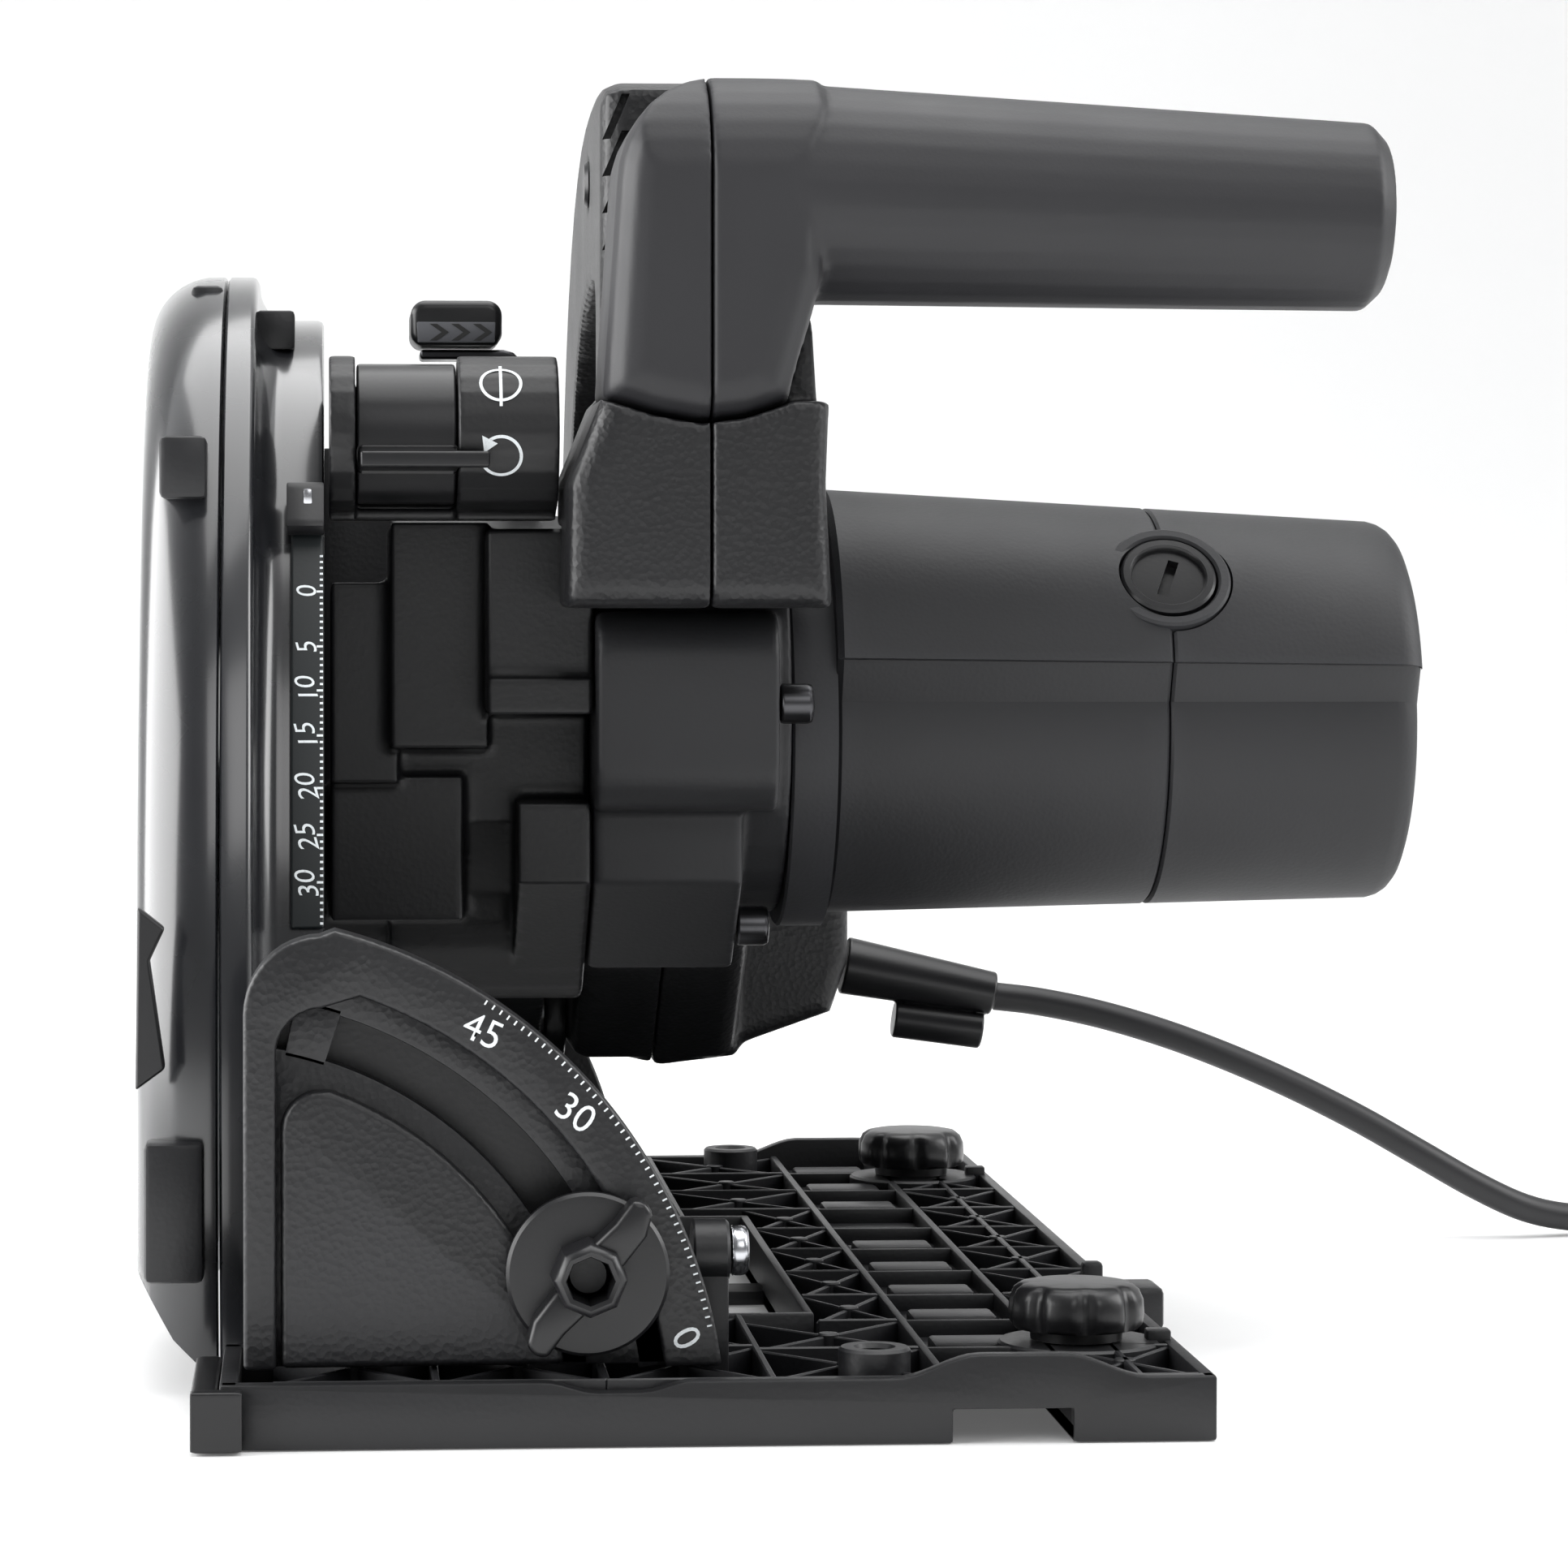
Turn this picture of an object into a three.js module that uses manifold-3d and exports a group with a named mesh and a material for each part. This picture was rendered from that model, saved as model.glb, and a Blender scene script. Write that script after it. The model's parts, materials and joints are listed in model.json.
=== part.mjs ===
// Corded plunge circular saw, millimetres, +Z up.
// Frame: the origin is the middle of the sole's underside. +X runs from the blade towards the motor,
// +Y towards the back of the saw (the user's side), so the front of the saw faces -Y.
import * as THREE from 'three';
import { mergeVertices } from 'three/addons/utils/BufferGeometryUtils.js';
import Module from 'manifold-3d';

const wasm = await Module();
wasm.setup();

// ---------------------------------------------------------------- driving dimensions
const GAP = 0.3; // between pieces that touch
const BASE = { halfWidth: 88, halfLength: 170, height: 11.5, floor: 3, wall: 3.2, guardEdge: -82 };
const GROOVE = { left: 41, right: 62.5, height: 6 };
const TILT = { x: -91, z: 0 }; // bevel axis, along Y
const QUADRANT = { outer: 93, slot: 74, slotWidth: 9, front: 146, thickness: 10, left: -84, knobAngle: 23 };
const PIVOT = { y: 100, z: 54.5, pin: 6 }; // plunge axis, along X
const BLADE = { radius: 80, left: -93.4, right: -91, spindleY: -8.2, spindleZ: 89, bore: 10, teeth: 24 };
const MOTOR = { y: -10, z: 127, start: 24, split: 101, end: 153 };
const GUARD = {
  front: 205, crownY: 6.2, crownZ: 112, crown: 95, rim: 9, outer: -105, seam: -89.5, inner: -69.6,
};
const COVER_WALL = 2.5;
const BAR = { y: -65, z: 228.7, radius: 22, endZ: 224.3, endRadius: 18.6, end: 139.5 };
const SEAM_X = 5; // clamshell seam of handle and grip
const BARREL = { y: -60, z: 181.2, radius: 15.4 };
const IDLER = { y: 4.4, z: 112.7 }; // intermediate gear shaft
const TEETH = { spindle: 39, idlerPinion: 14, idlerGear: 26, pinion: 13 };
const CORD_RADIUS = 3.25;
const CORD_EXIT = [85.7, PIVOT.y, 56.2];

// ---------------------------------------------------------------- materials
const material = (color, roughness, metalness = 0) =>
  new THREE.MeshStandardMaterial({ color, roughness, metalness });
const MATERIALS = {
  casting: material(0x2a2b2e, 0.55, 0.2),
  housing: material(0x2e2f32, 0.6),
  grip: material(0x343538, 0.55),
  cover: material(0x26282b, 0.35, 0.1),
  knob: material(0x1b1c1e, 0.4),
  steel: material(0xb9bcc0, 0.3, 1),
  blackSteel: material(0x1a1a1c, 0.35, 0.9),
  zinc: material(0xc9ccd2, 0.25, 1),
  copper: material(0xa8643a, 0.4, 1),
  carbon: material(0x161616, 0.8),
  cord: material(0x202123, 0.5),
  scale: material(0x17181a, 0.5),
};

// ---------------------------------------------------------------- solids
// Maps the extrusion's own axes to the axis that a prism or a turned piece runs along.
const BASIS = {
  x: new THREE.Matrix4().makeBasis(
    new THREE.Vector3(0, 1, 0), new THREE.Vector3(0, 0, 1), new THREE.Vector3(1, 0, 0)),
  y: new THREE.Matrix4().makeBasis(
    new THREE.Vector3(1, 0, 0), new THREE.Vector3(0, 0, 1), new THREE.Vector3(0, 1, 0)),
  z: new THREE.Matrix4(),
};

function signedVolume(position, index) {
  const corners = [new THREE.Vector3(), new THREE.Vector3(), new THREE.Vector3()];
  let total = 0;
  for (let i = 0; i < index.length; i += 3) {
    corners.forEach((corner, k) => corner.fromBufferAttribute(position, index[i + k]));
    total += corners[0].dot(corners[1].clone().cross(corners[2]));
  }
  return total;
}

function point(position, i) {
  return [position.getX(i), position.getY(i), position.getZ(i)];
}

function solid(geometry) {
  const bare = geometry.clone();
  bare.deleteAttribute('normal');
  bare.deleteAttribute('uv');
  const merged = mergeVertices(bare, 1e-4);
  const triVerts = Uint32Array.from(merged.index.array);
  if (signedVolume(merged.attributes.position, triVerts) < 0) {
    for (let i = 0; i < triVerts.length; i += 3) {
      [triVerts[i], triVerts[i + 1]] = [triVerts[i + 1], triVerts[i]];
    }
  }
  const vertProperties = Float32Array.from(merged.attributes.position.array);
  return new wasm.Manifold(new wasm.Mesh({ numProp: 3, vertProperties, triVerts }));
}

function box(x0, x1, y0, y1, z0, z1) {
  const geometry = new THREE.BoxGeometry(x1 - x0, y1 - y0, z1 - z0);
  return solid(geometry.translate((x0 + x1) / 2, (y0 + y1) / 2, (z0 + z1) / 2));
}

// A shape extruded along an axis. Along x its coordinates are (Y, Z), along y (X, Z), along z (X, Y).
// solid() turns the faces outwards again where the mapping mirrors them.
function prism(axis, shape, from, to, options = {}) {
  const { bevel = 0, bevelDepth = bevel, bevelSteps = 2, curves = 12, warp } = options;
  const geometry = new THREE.ExtrudeGeometry(shape, {
    depth: to - from - 2 * bevelDepth,
    steps: 1,
    curveSegments: curves,
    bevelEnabled: bevel > 0,
    bevelSize: bevel,
    bevelOffset: -bevel,
    bevelThickness: bevelDepth,
    bevelSegments: bevelSteps,
  });
  geometry.translate(0, 0, from + bevelDepth);
  geometry.applyMatrix4(BASIS[axis]);
  if (warp) {
    const { position } = geometry.attributes;
    for (let i = 0; i < position.count; i++) position.setXYZ(i, ...warp(...point(position, i)));
  }
  return solid(geometry);
}

// A turned piece: profile points are [radius, distance along the axis]; centre is the axis' two coordinates.
function turned(axis, profile, centre, segments = 24) {
  const points = profile.map(([radius, along]) => new THREE.Vector2(radius, along));
  const geometry = new THREE.LatheGeometry(points, segments);
  geometry.rotateX(Math.PI / 2);
  geometry.translate(centre[0], centre[1], 0);
  return solid(geometry.applyMatrix4(BASIS[axis]));
}

function cylinder(axis, radius, from, to, centre, segments = 20) {
  return turned(axis, [[0, from], [radius, from], [radius, to], [0, to]], centre, segments);
}

function tube(axis, inner, outer, from, to, centre, segments = 20) {
  const profile = [[inner, from], [outer, from], [outer, to], [inner, to], [inner, from]];
  return turned(axis, profile, centre, segments);
}

// A round bar between two points, tapered where the end radii differ.
function rod(radius, from, to, segments = 16, endRadius = radius) {
  const start = new THREE.Vector3(...from);
  const run = new THREE.Vector3(...to).sub(start);
  const geometry = new THREE.CylinderGeometry(endRadius, radius, run.length(), segments);
  const turn = new THREE.Quaternion().setFromUnitVectors(new THREE.Vector3(0, 1, 0), run.clone().normalize());
  geometry.applyQuaternion(turn);
  return solid(geometry.translate(...start.addScaledVector(run, 0.5).toArray()));
}

function polygon(points) {
  return new THREE.Shape(points.map(([a, b]) => new THREE.Vector2(a, b)));
}

function roundedRectangle(a0, a1, b0, b1, radius) {
  const shape = new THREE.Shape();
  shape.moveTo(a0 + radius, b0);
  shape.lineTo(a1 - radius, b0);
  shape.absarc(a1 - radius, b0 + radius, radius, -Math.PI / 2, 0);
  shape.lineTo(a1, b1 - radius);
  shape.absarc(a1 - radius, b1 - radius, radius, 0, Math.PI / 2);
  shape.lineTo(a0 + radius, b1);
  shape.absarc(a0 + radius, b1 - radius, radius, Math.PI / 2, Math.PI);
  shape.lineTo(a0, b0 + radius);
  shape.absarc(a0 + radius, b0 + radius, radius, Math.PI, 1.5 * Math.PI);
  return shape;
}

const degrees = THREE.MathUtils.degToRad;

// Points of a circle's arc, in degrees.
function arc(centreA, centreB, radius, from, to, steps) {
  return Array.from({ length: steps + 1 }, (_, i) => {
    const angle = degrees(from + ((to - from) * i) / steps);
    return [centreA + radius * Math.cos(angle), centreB + radius * Math.sin(angle)];
  });
}

// A band between two radii, with round ends where endCaps is set.
function sector(centreA, centreB, inner, outer, from, to, steps, endCaps = false) {
  const middle = (inner + outer) / 2;
  const half = (outer - inner) / 2;
  const cap = (angle, start) => {
    const a = centreA + middle * Math.cos(degrees(angle));
    const b = centreB + middle * Math.sin(degrees(angle));
    return arc(a, b, half, start, start + 180, 8).slice(1, -1);
  };
  return polygon([
    ...arc(centreA, centreB, outer, from, to, steps),
    ...(endCaps ? cap(to, to) : []),
    ...arc(centreA, centreB, inner, to, from, steps),
    ...(endCaps ? cap(from, from + 180) : []),
  ]);
}

function union(pieces) {
  return pieces.reduce((whole, piece) => whole.add(piece));
}

function cut(whole, tools) {
  return tools.reduce((rest, tool) => rest.subtract(tool), whole);
}

// ---------------------------------------------------------------- scene graph
const saw = new THREE.Group();

function group(name) {
  const part = new THREE.Group();
  part.name = `${name}_group`;
  saw.add(part);
  return part;
}

function place(parent, name, whole, look, position = [0, 0, 0]) {
  const mesh = whole.getMesh();
  const geometry = new THREE.BufferGeometry();
  const positions = new Float32Array(mesh.numVert * 3);
  for (let i = 0; i < mesh.numVert; i++) {
    for (let k = 0; k < 3; k++) positions[3 * i + k] = mesh.vertProperties[mesh.numProp * i + k];
  }
  geometry.setAttribute('position', new THREE.BufferAttribute(positions, 3));
  geometry.setIndex(new THREE.BufferAttribute(Uint32Array.from(mesh.triVerts), 1));
  geometry.computeVertexNormals();
  const node = new THREE.Mesh(geometry, MATERIALS[look]);
  node.name = name;
  node.position.set(...position);
  parent.add(node);
}

// ---------------------------------------------------------------- base
const base = group('base');
const RIB = { pitch: 38, thickness: 1.6 };
const HUMP = { from: 46, to: 62, rise: 4.2, ramp: 13 }; // raised edge over the groove
const RAIL_KNOB = { x: 69.5, y: 127, radius: 12.6, flutes: 8, height: 10.5, pad: 15 };
const BOSS = { x: 28.7, y: 155, radius: 6.5, hole: 3, top: 15 };
const STOP = { y: -140, z: 30.4, radius: 5.8, left: -3, right: 3.7 }; // post of the bevel stop screw
const ABOVE = 30; // height that clears everything on the sole
const WINDOWS = [[-90, -4], [8, 52]]; // along Y; a thin cross bar parts them under the origin

function basePlate() {
  const { halfWidth: w, halfLength: l, height, floor, wall, guardEdge } = BASE;
  const outline = polygon([
    [-w, 0], [w, 0], [w, height], [HUMP.to + HUMP.ramp, height], [HUMP.to, height + HUMP.rise],
    [HUMP.from, height + HUMP.rise], [HUMP.from - HUMP.ramp, height], [-w, height],
  ]);
  const slab = cut(prism('y', outline, -l, l), [box(-w - 1, w + 1, 4 - l, l - 4, height, ABOVE)]);
  // Pockets leave a grid of ribs: columns across the base, and rows along it.
  const columns = [
    [11, 24.4, floor], [26, GROOVE.left - 3, floor], [GROOVE.left, GROOVE.right, 9],
    [GROOVE.right + 3, 74.8, floor], [76.4, w - wall, floor],
  ];
  const rows = [];
  for (let y = 6 - l; y < l - 10; y += RIB.pitch) {
    rows.push([y, Math.min(y + RIB.pitch - RIB.thickness, l - 6)]);
  }
  const pockets = rows.flatMap(([y0, y1]) => columns.map(([x0, x1, z]) => box(x0, x1, y0, y1, z, ABOVE)));
  const sidePockets = [[-141, -94], [56, 96], [98, 141]].flatMap(([y0, y1]) => [
    box(guardEdge + wall, -37, y0, y1, floor, ABOVE), box(-35, 7, y0, y1, floor, ABOVE),
  ]);
  const pads = [-RAIL_KNOB.y, RAIL_KNOB.y].map((y) => (
    cylinder('z', RAIL_KNOB.pad, 1, height, [RAIL_KNOB.x + 0.4, y], 28)));
  const bosses = [-BOSS.y, BOSS.y].map((y) => cylinder('z', BOSS.radius, 1, BOSS.top, [BOSS.x, y], 20));
  const clip = box(w - 4, w + 7, -76, -62, 5, 13.4).add(box(w - 8.5, w - 4.5, -72, -68, 1, 18));
  const stopPost = cylinder('x', STOP.radius, STOP.left, STOP.right, [STOP.y, STOP.z], 20)
    .add(box(STOP.left, STOP.right, STOP.y - 4, STOP.y + 4, 1, STOP.z));
  const whole = union([cut(slab, [...pockets, ...sidePockets]), ...pads, ...bosses, clip, stopPost]);
  return cut(whole, [
    box(GROOVE.left, GROOVE.right, -l - 1, l + 1, -1, GROOVE.height),
    box(-w - 1, guardEdge, -123, 130, -1, ABOVE),
    ...WINDOWS.map(([y0, y1]) => box(guardEdge + wall, 22.4, y0, y1, -1, ABOVE)),
    box(guardEdge + wall, 22.4, -90, 52, floor, ABOVE),
    box(guardEdge - 1, guardEdge + wall + 1, -45, 30, floor, ABOVE),
    box(guardEdge - 1, guardEdge + wall + 1, -45, WINDOWS[0][1], -1, ABOVE),
    box(guardEdge - 1, guardEdge + wall + 1, WINDOWS[1][0], 30, -1, ABOVE),
    box(GROOVE.left + 3, GROOVE.right - 3, 26, 46, 1, ABOVE),
    ...[-BOSS.y, BOSS.y].map((y) => cylinder('z', BOSS.hole, 5, ABOVE, [BOSS.x, y], 12)),
  ]);
}
place(base, 'base_plate', basePlate(), 'casting');

// Bevel quadrant: a plate with an arc slot, its inner panel set back from the rim.
function quadrant(side) {
  const { outer, slot, slotWidth, front, thickness, left } = QUADRANT;
  const [y0, y1] = side < 0 ? [-front - thickness, -front] : [front, front + thickness];
  const bottom = BASE.height + GAP;
  const outline = polygon([
    [left, bottom],
    ...arc(TILT.x, TILT.z, outer, 7.3, 76, 22),
    ...arc(left + 14, 75, 14, 90, 180, 5),
  ]);
  const recess = sector(TILT.x, TILT.z, slot - 14, outer - 12, 25, 71, 14, false);
  const face = side < 0 ? [y0 - 1, y0 + 4] : [y1 - 4, y1 + 1];
  return cut(prism('y', outline, y0, y1), [
    prism('y', sector(TILT.x, TILT.z, slot - slotWidth / 2, slot + slotWidth / 2, 18, 72, 18, true),
      y0 - 1, y1 + 1),
    prism('y', recess, ...face),
  ]);
}
place(base, 'front_quadrant', quadrant(-1), 'casting');
place(base, 'rear_quadrant', quadrant(1), 'casting');

function splinterGuard() {
  const body = box(-93, BASE.guardEdge - 6.3, -170, -130, 0.2, 10.5);
  const foot = box(-93, -84, -174, -170.3, 0.2, 11);
  const holes = [-162, -138].map((y) => cylinder('x', 1.5, -95, -84, [y, 6], 12));
  return cut(union([body, foot, box(-93, -88.3, -171, -169, 0.2, 10.5)]), holes);
}
place(base, 'splinter_guard', splinterGuard(), 'knob');

const stopScrewProfile = [[0, 4], [4.2, 4], [4.6, 4.4], [4.6, 6.6], [3.8, 7.3], [0, 7.3]];
place(base, 'bevel_stop_screw', turned('x', stopScrewProfile, [STOP.y, STOP.z], 18), 'zinc');

// Fluted knob that takes up the play on the guide rail.
function railKnob() {
  const { flutes, height } = RAIL_KNOB;
  const outline = new THREE.Shape();
  const steps = flutes * 3;
  for (let i = 0; i < steps; i++) {
    const angle = (i / steps) * 2 * Math.PI;
    const radius = RAIL_KNOB.radius - 0.45 * (1 - Math.cos(flutes * angle)) ** 2;
    const point = [radius * Math.cos(angle), radius * Math.sin(angle)];
    if (i === 0) outline.moveTo(...point);
    else outline.lineTo(...point);
  }
  const cap = prism('z', outline, 2, height, { bevel: 1.6, bevelSteps: 1 });
  return union([cap, cylinder('z', 8.5, 0, 3, [0, 0], 24)]);
}
for (const [name, y] of [['front_rail_knob', -RAIL_KNOB.y], ['rear_rail_knob', RAIL_KNOB.y]]) {
  place(base, name, railKnob(), 'knob', [RAIL_KNOB.x, y, BASE.height + GAP]);
}

// ---------------------------------------------------------------- guard side profile
// Front arc about the plunge axis, a smaller crown arc tangent to it, and a straight back.
function guardOutline(offset, bottom) {
  const front = GUARD.front + offset;
  const crown = GUARD.crown + offset;
  const lean = Math.atan2(GUARD.crownZ - PIVOT.z, GUARD.crownY - PIVOT.y) * (180 / Math.PI);
  const low = 180 - Math.asin((bottom - PIVOT.z) / front) * (180 / Math.PI);
  return polygon([
    [GUARD.crownY + crown, bottom],
    ...arc(GUARD.crownY, GUARD.crownZ, crown, 0, lean, 14),
    ...arc(PIVOT.y, PIVOT.z, front, lean, low, 9).slice(1),
  ]);
}

const tiltFrame = group('tilt_frame');
const GUARD_FLOOR = 3;
const BODY_FLOOR = 13;
const SPINDLE_SLOT = 25;

// The dust outlet opens through the back of both guard halves.
const DUST = { x: -84, z: 124, inner: 15.5, outer: 18, hole: 12.5, end: 160 };
const dustHole = () => cylinder('y', DUST.hole, 90, DUST.end, [DUST.x, DUST.z], 24);

function guardHousing() {
  const rim = prism('x', guardOutline(GUARD.rim, GUARD_FLOOR), GUARD.seam + GAP, -83);
  const body = prism('x', guardOutline(0, BODY_FLOOR), -84, GUARD.inner);
  const hollow = prism('x', guardOutline(-COVER_WALL, -5), GUARD.seam - 1, GUARD.inner - COVER_WALL);
  const slot = union([
    box(-80, -60, BLADE.spindleY - SPINDLE_SLOT - 6, BLADE.spindleY + SPINDLE_SLOT, -5, BLADE.spindleZ),
    cylinder('x', SPINDLE_SLOT, -80, -60, [BLADE.spindleY, BLADE.spindleZ], 32),
  ]);
  const pin = cylinder('x', PIVOT.pin + 0.15, -90, -60, [PIVOT.y, PIVOT.z], 24);
  const baffle = box(GUARD.inner - 0.5, -45, 60, 64, 58, 182); // inside wall beside the gear case
  const lug = box(-83.2, -75.5, -34, -20, 196, 207);
  return cut(union([rim, body, lug]), [hollow, slot, pin, dustHole()]).add(baffle);
}
place(tiltFrame, 'guard_housing', guardHousing(), 'cover');

function guardCover() {
  const shell = prism('x', guardOutline(GUARD.rim, GUARD_FLOOR), GUARD.outer, GUARD.outer + 40,
    { bevel: 13, bevelDepth: 13, bevelSteps: 3 });
  const hollow = prism('x', guardOutline(GUARD.rim - COVER_WALL, -40), GUARD.outer + COVER_WALL, -60,
    { bevel: 12, bevelDepth: 12, bevelSteps: 2 });
  const edge = polygon([[GUARD.outer - 1, -30], [GUARD.outer - 1, 24], [-98, 10], [-90, GUARD_FLOOR - 1],
    [-88, GUARD_FLOOR - 1], [-88, -30]]);
  const tabs = [
    box(-101, -92, -86, -74, 168, 180),
    box(-103, -92, -118.5, -108, 22, 48),
    box(-96.5, -90, -25, -10, 200, 212.5),
  ];
  const whole = union([shell.intersect(box(-120, GUARD.seam, -200, 200, 0, 300)), ...tabs]);
  return cut(whole, [hollow, prism('y', edge, -200, 200), dustHole()]);
}
place(tiltFrame, 'guard_cover', guardCover(), 'cover');

const indicator = polygon([[-104.5, 58], [-99, 62], [-101.8, 82], [-99, 88], [-104, 92]]);
place(tiltFrame, 'cut_indicator', prism('y', indicator, -119.5, -115.2), 'knob');

place(tiltFrame, 'depth_scale', prism('x',
  sector(PIVOT.y, PIVOT.z, GUARD.front + GAP, GUARD.front + 1.3, 148.4, 171, 16), -76, GUARD.inner), 'scale');

// Trunnion: a plate behind the quadrant with the bevel bolt, and a web back to the guard.
const knobAngle = degrees(QUADRANT.knobAngle);
const BOLT = {
  x: TILT.x + QUADRANT.slot * Math.cos(knobAngle),
  z: TILT.z + QUADRANT.slot * Math.sin(knobAngle),
  radius: 3.4,
};

function trunnion(side) {
  const near = side * (QUADRANT.front - GAP - 0.2);
  const far = side * (QUADRANT.front - 6.5);
  const span = (a, b) => [Math.min(a, b), Math.max(a, b)];
  const plate = polygon([
    [-82.6, 13.5], [-30, 13.5],
    ...arc(BOLT.x, BOLT.z, 9, -90, 60, 6),
    ...arc(TILT.x, TILT.z, QUADRANT.outer - 6, 45, 80, 6),
    [-82.6, 80],
  ]);
  const guardFace = side < 0 ? -106.2 : GUARD.crownY + GUARD.crown + GAP;
  const web = box(-82.6, -77.6, ...span(side * 141, guardFace), 20, side < 0 ? 74 : 60);
  const stud = cylinder('y', BOLT.radius, ...span(far, side * 168), [BOLT.x, BOLT.z], 12);
  const body = union([prism('y', plate, ...span(near, far)), web, stud]);
  return side < 0 ? cut(body, [prism('x', guardOutline(GAP, 0), -100, -70)]) : body;
}
place(tiltFrame, 'front_trunnion', trunnion(-1), 'casting');

function rearTrunnion() {
  const ear = union([
    box(-19.5, -14.5, PIVOT.y, 141, 26, 66),
    cylinder('x', 12, -19.5, -14.5, [PIVOT.y, PIVOT.z], 28),
  ]);
  const bore = cylinder('x', PIVOT.pin + 0.15, -25, -10, [PIVOT.y, PIVOT.z], 24);
  return trunnion(1).add(cut(ear, [bore]));
}
place(tiltFrame, 'rear_trunnion', rearTrunnion(), 'casting');

place(tiltFrame, 'return_spring', tube('x', 7.5, 15.5, -56, -42, [PIVOT.y, PIVOT.z], 24), 'steel');
place(tiltFrame, 'plunge_pin', cylinder('x', PIVOT.pin, -76, -14.6, [PIVOT.y, PIVOT.z], 24), 'steel');

function dustPort() {
  const start = GUARD.crownY + GUARD.crown + GUARD.rim + GAP;
  const flange = box(-103, -72, start, start + 3, DUST.z - 22, DUST.z + 22);
  const pipe = cylinder('y', DUST.outer, start, DUST.end, [DUST.x, DUST.z], 24);
  const lip = cylinder('y', DUST.outer + 1.5, DUST.end - 5, DUST.end, [DUST.x, DUST.z], 24);
  return cut(union([flange, pipe, lip]),
    [cylinder('y', DUST.inner, start - 1, DUST.end + 1, [DUST.x, DUST.z], 24)]);
}
place(tiltFrame, 'dust_port', dustPort(), 'housing');

// Depth stop: a clip that slides along the scale, on an arc about the plunge axis.
function depthStop() {
  const inner = GUARD.front + 1.3 + GAP;
  const rider = prism('x', sector(PIVOT.y, PIVOT.z, inner, inner + 4, 146.2, 149.2, 3), -77, GUARD.inner + 0.2);
  return rider.add(box(-75, -71.5, -81, -76.5, 161.5, 164.5));
}
place(tiltFrame, 'depth_stop', depthStop(), 'knob');

// Wing knobs on the bevel studs.
function wingKnob(side) {
  const near = side * (QUADRANT.front + QUADRANT.thickness + GAP);
  const along = (a, b) => [near + side * a, near + side * b].sort((p, q) => p - q);
  const disc = cylinder('y', 14.6, ...along(0, 3), [0, 0], 28);
  const hub = cylinder('y', 6.4, ...along(2, 12), [0, 0], 16);
  const wing = (turn) => {
    const outline = [[0, -4.6], [12.6, -4], [16.7, -1.5], [15.8, 3.6], [0, 4.6]];
    const [c, n] = [Math.cos(degrees(turn)), Math.sin(degrees(turn))];
    return prism('y', polygon(outline.map(([a, b]) => [a * c - b * n, a * n + b * c])), ...along(2.5, 10));
  };
  const body = union([disc, hub, wing(40), wing(220)]);
  return cut(body, [cylinder('y', BOLT.radius + 0.4, ...along(-1, 13), [0, 0], 12)]);
}
place(tiltFrame, 'front_bevel_knob', wingKnob(-1), 'knob', [BOLT.x, 0, BOLT.z]);
place(tiltFrame, 'rear_bevel_knob', wingKnob(1), 'knob', [BOLT.x, 0, BOLT.z]);

// ---------------------------------------------------------------- plunge head: gear case
const head = group('plunge_head');
const M = [MOTOR.y, MOTOR.z];
const S = [BLADE.spindleY, BLADE.spindleZ];
const I = [IDLER.y, IDLER.z];
const CASE = { left: -56, seam: -16, right: 20.3 };
const lowerCase = [[-52, 108], [-52, 92], [-26, 73], [18, 73], [30, 92], [30, 112]];

function gearHousing() {
  const { left, seam } = CASE;
  const end = seam - GAP;
  const pieces = [
    prism('x', polygon([
      [-40, 104], [-40, 160], [-6, 166], [24, 158], [33, 126], [30, 92], [10, 80], [-26, 78],
    ]), left, end),
    cylinder('x', 23.6, left, end, S, 24),
    cylinder('x', 21, -80, left + 1, S, 24),
    box(-37.7, end, -58, -20, 126, 162.7),
    box(-37.7, end, -60, -56, 126, 133),
    box(-56.7, -37, -48, -20, 119, 164),
    box(-68.4, -55, -45, -12, 112, 152),
    box(-68.4, -41.7, -42, -4, 84, 113),
    prism('x', polygon(lowerCase), -31, end),
    // arm back to the plunge axis
    prism('x', polygon([[10, 84], [26, 122], [106, 66], [96, 42], [60, 58]]), -38, -21),
    cylinder('x', 13, -38, -21, [PIVOT.y, PIVOT.z], 28),
    // ear of the release lever
    prism('x', polygon([[4, 160], [6, 182], [22, 182], [24, 156]]), -28.4, -24),
    cylinder('x', 2.9, -34, -28, [15, 176], 16),
  ];
  return cut(union(pieces), [
    cylinder('x', 20.8, -50, 0, S, 24),
    cylinder('x', 15.4, -81, -49, S),
    cylinder('x', 15.2, -50, 0, I),
    cylinder('x', 12, -40, 0, M),
    cylinder('x', 4.4, -54, 0, I, 12),
    cylinder('x', PIVOT.pin + 0.15, -45, -15, [PIVOT.y, PIVOT.z], 24),
  ]);
}
place(head, 'gear_housing', gearHousing(), 'casting');

function gearCover() {
  const { seam, right } = CASE;
  const pieces = [
    prism('x', roundedRectangle(-64, 10, 106.5, 146.2, 9), seam, right, { curves: 4 }),
    prism('x', polygon(lowerCase), seam, 13.9),
    cylinder('x', 43.6, seam, MOTOR.start - GAP, M, 36),
  ];
  return cut(union(pieces), [
    cylinder('x', 12.4, seam - 1, -6, S),
    cylinder('x', 4.4, seam - 1, -6, I, 12),
    cylinder('x', 13.4, 10, 30, M),
    cylinder('x', 7, -30, 30, M, 12),
  ]);
}
place(head, 'gear_cover', gearCover(), 'housing');

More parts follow.
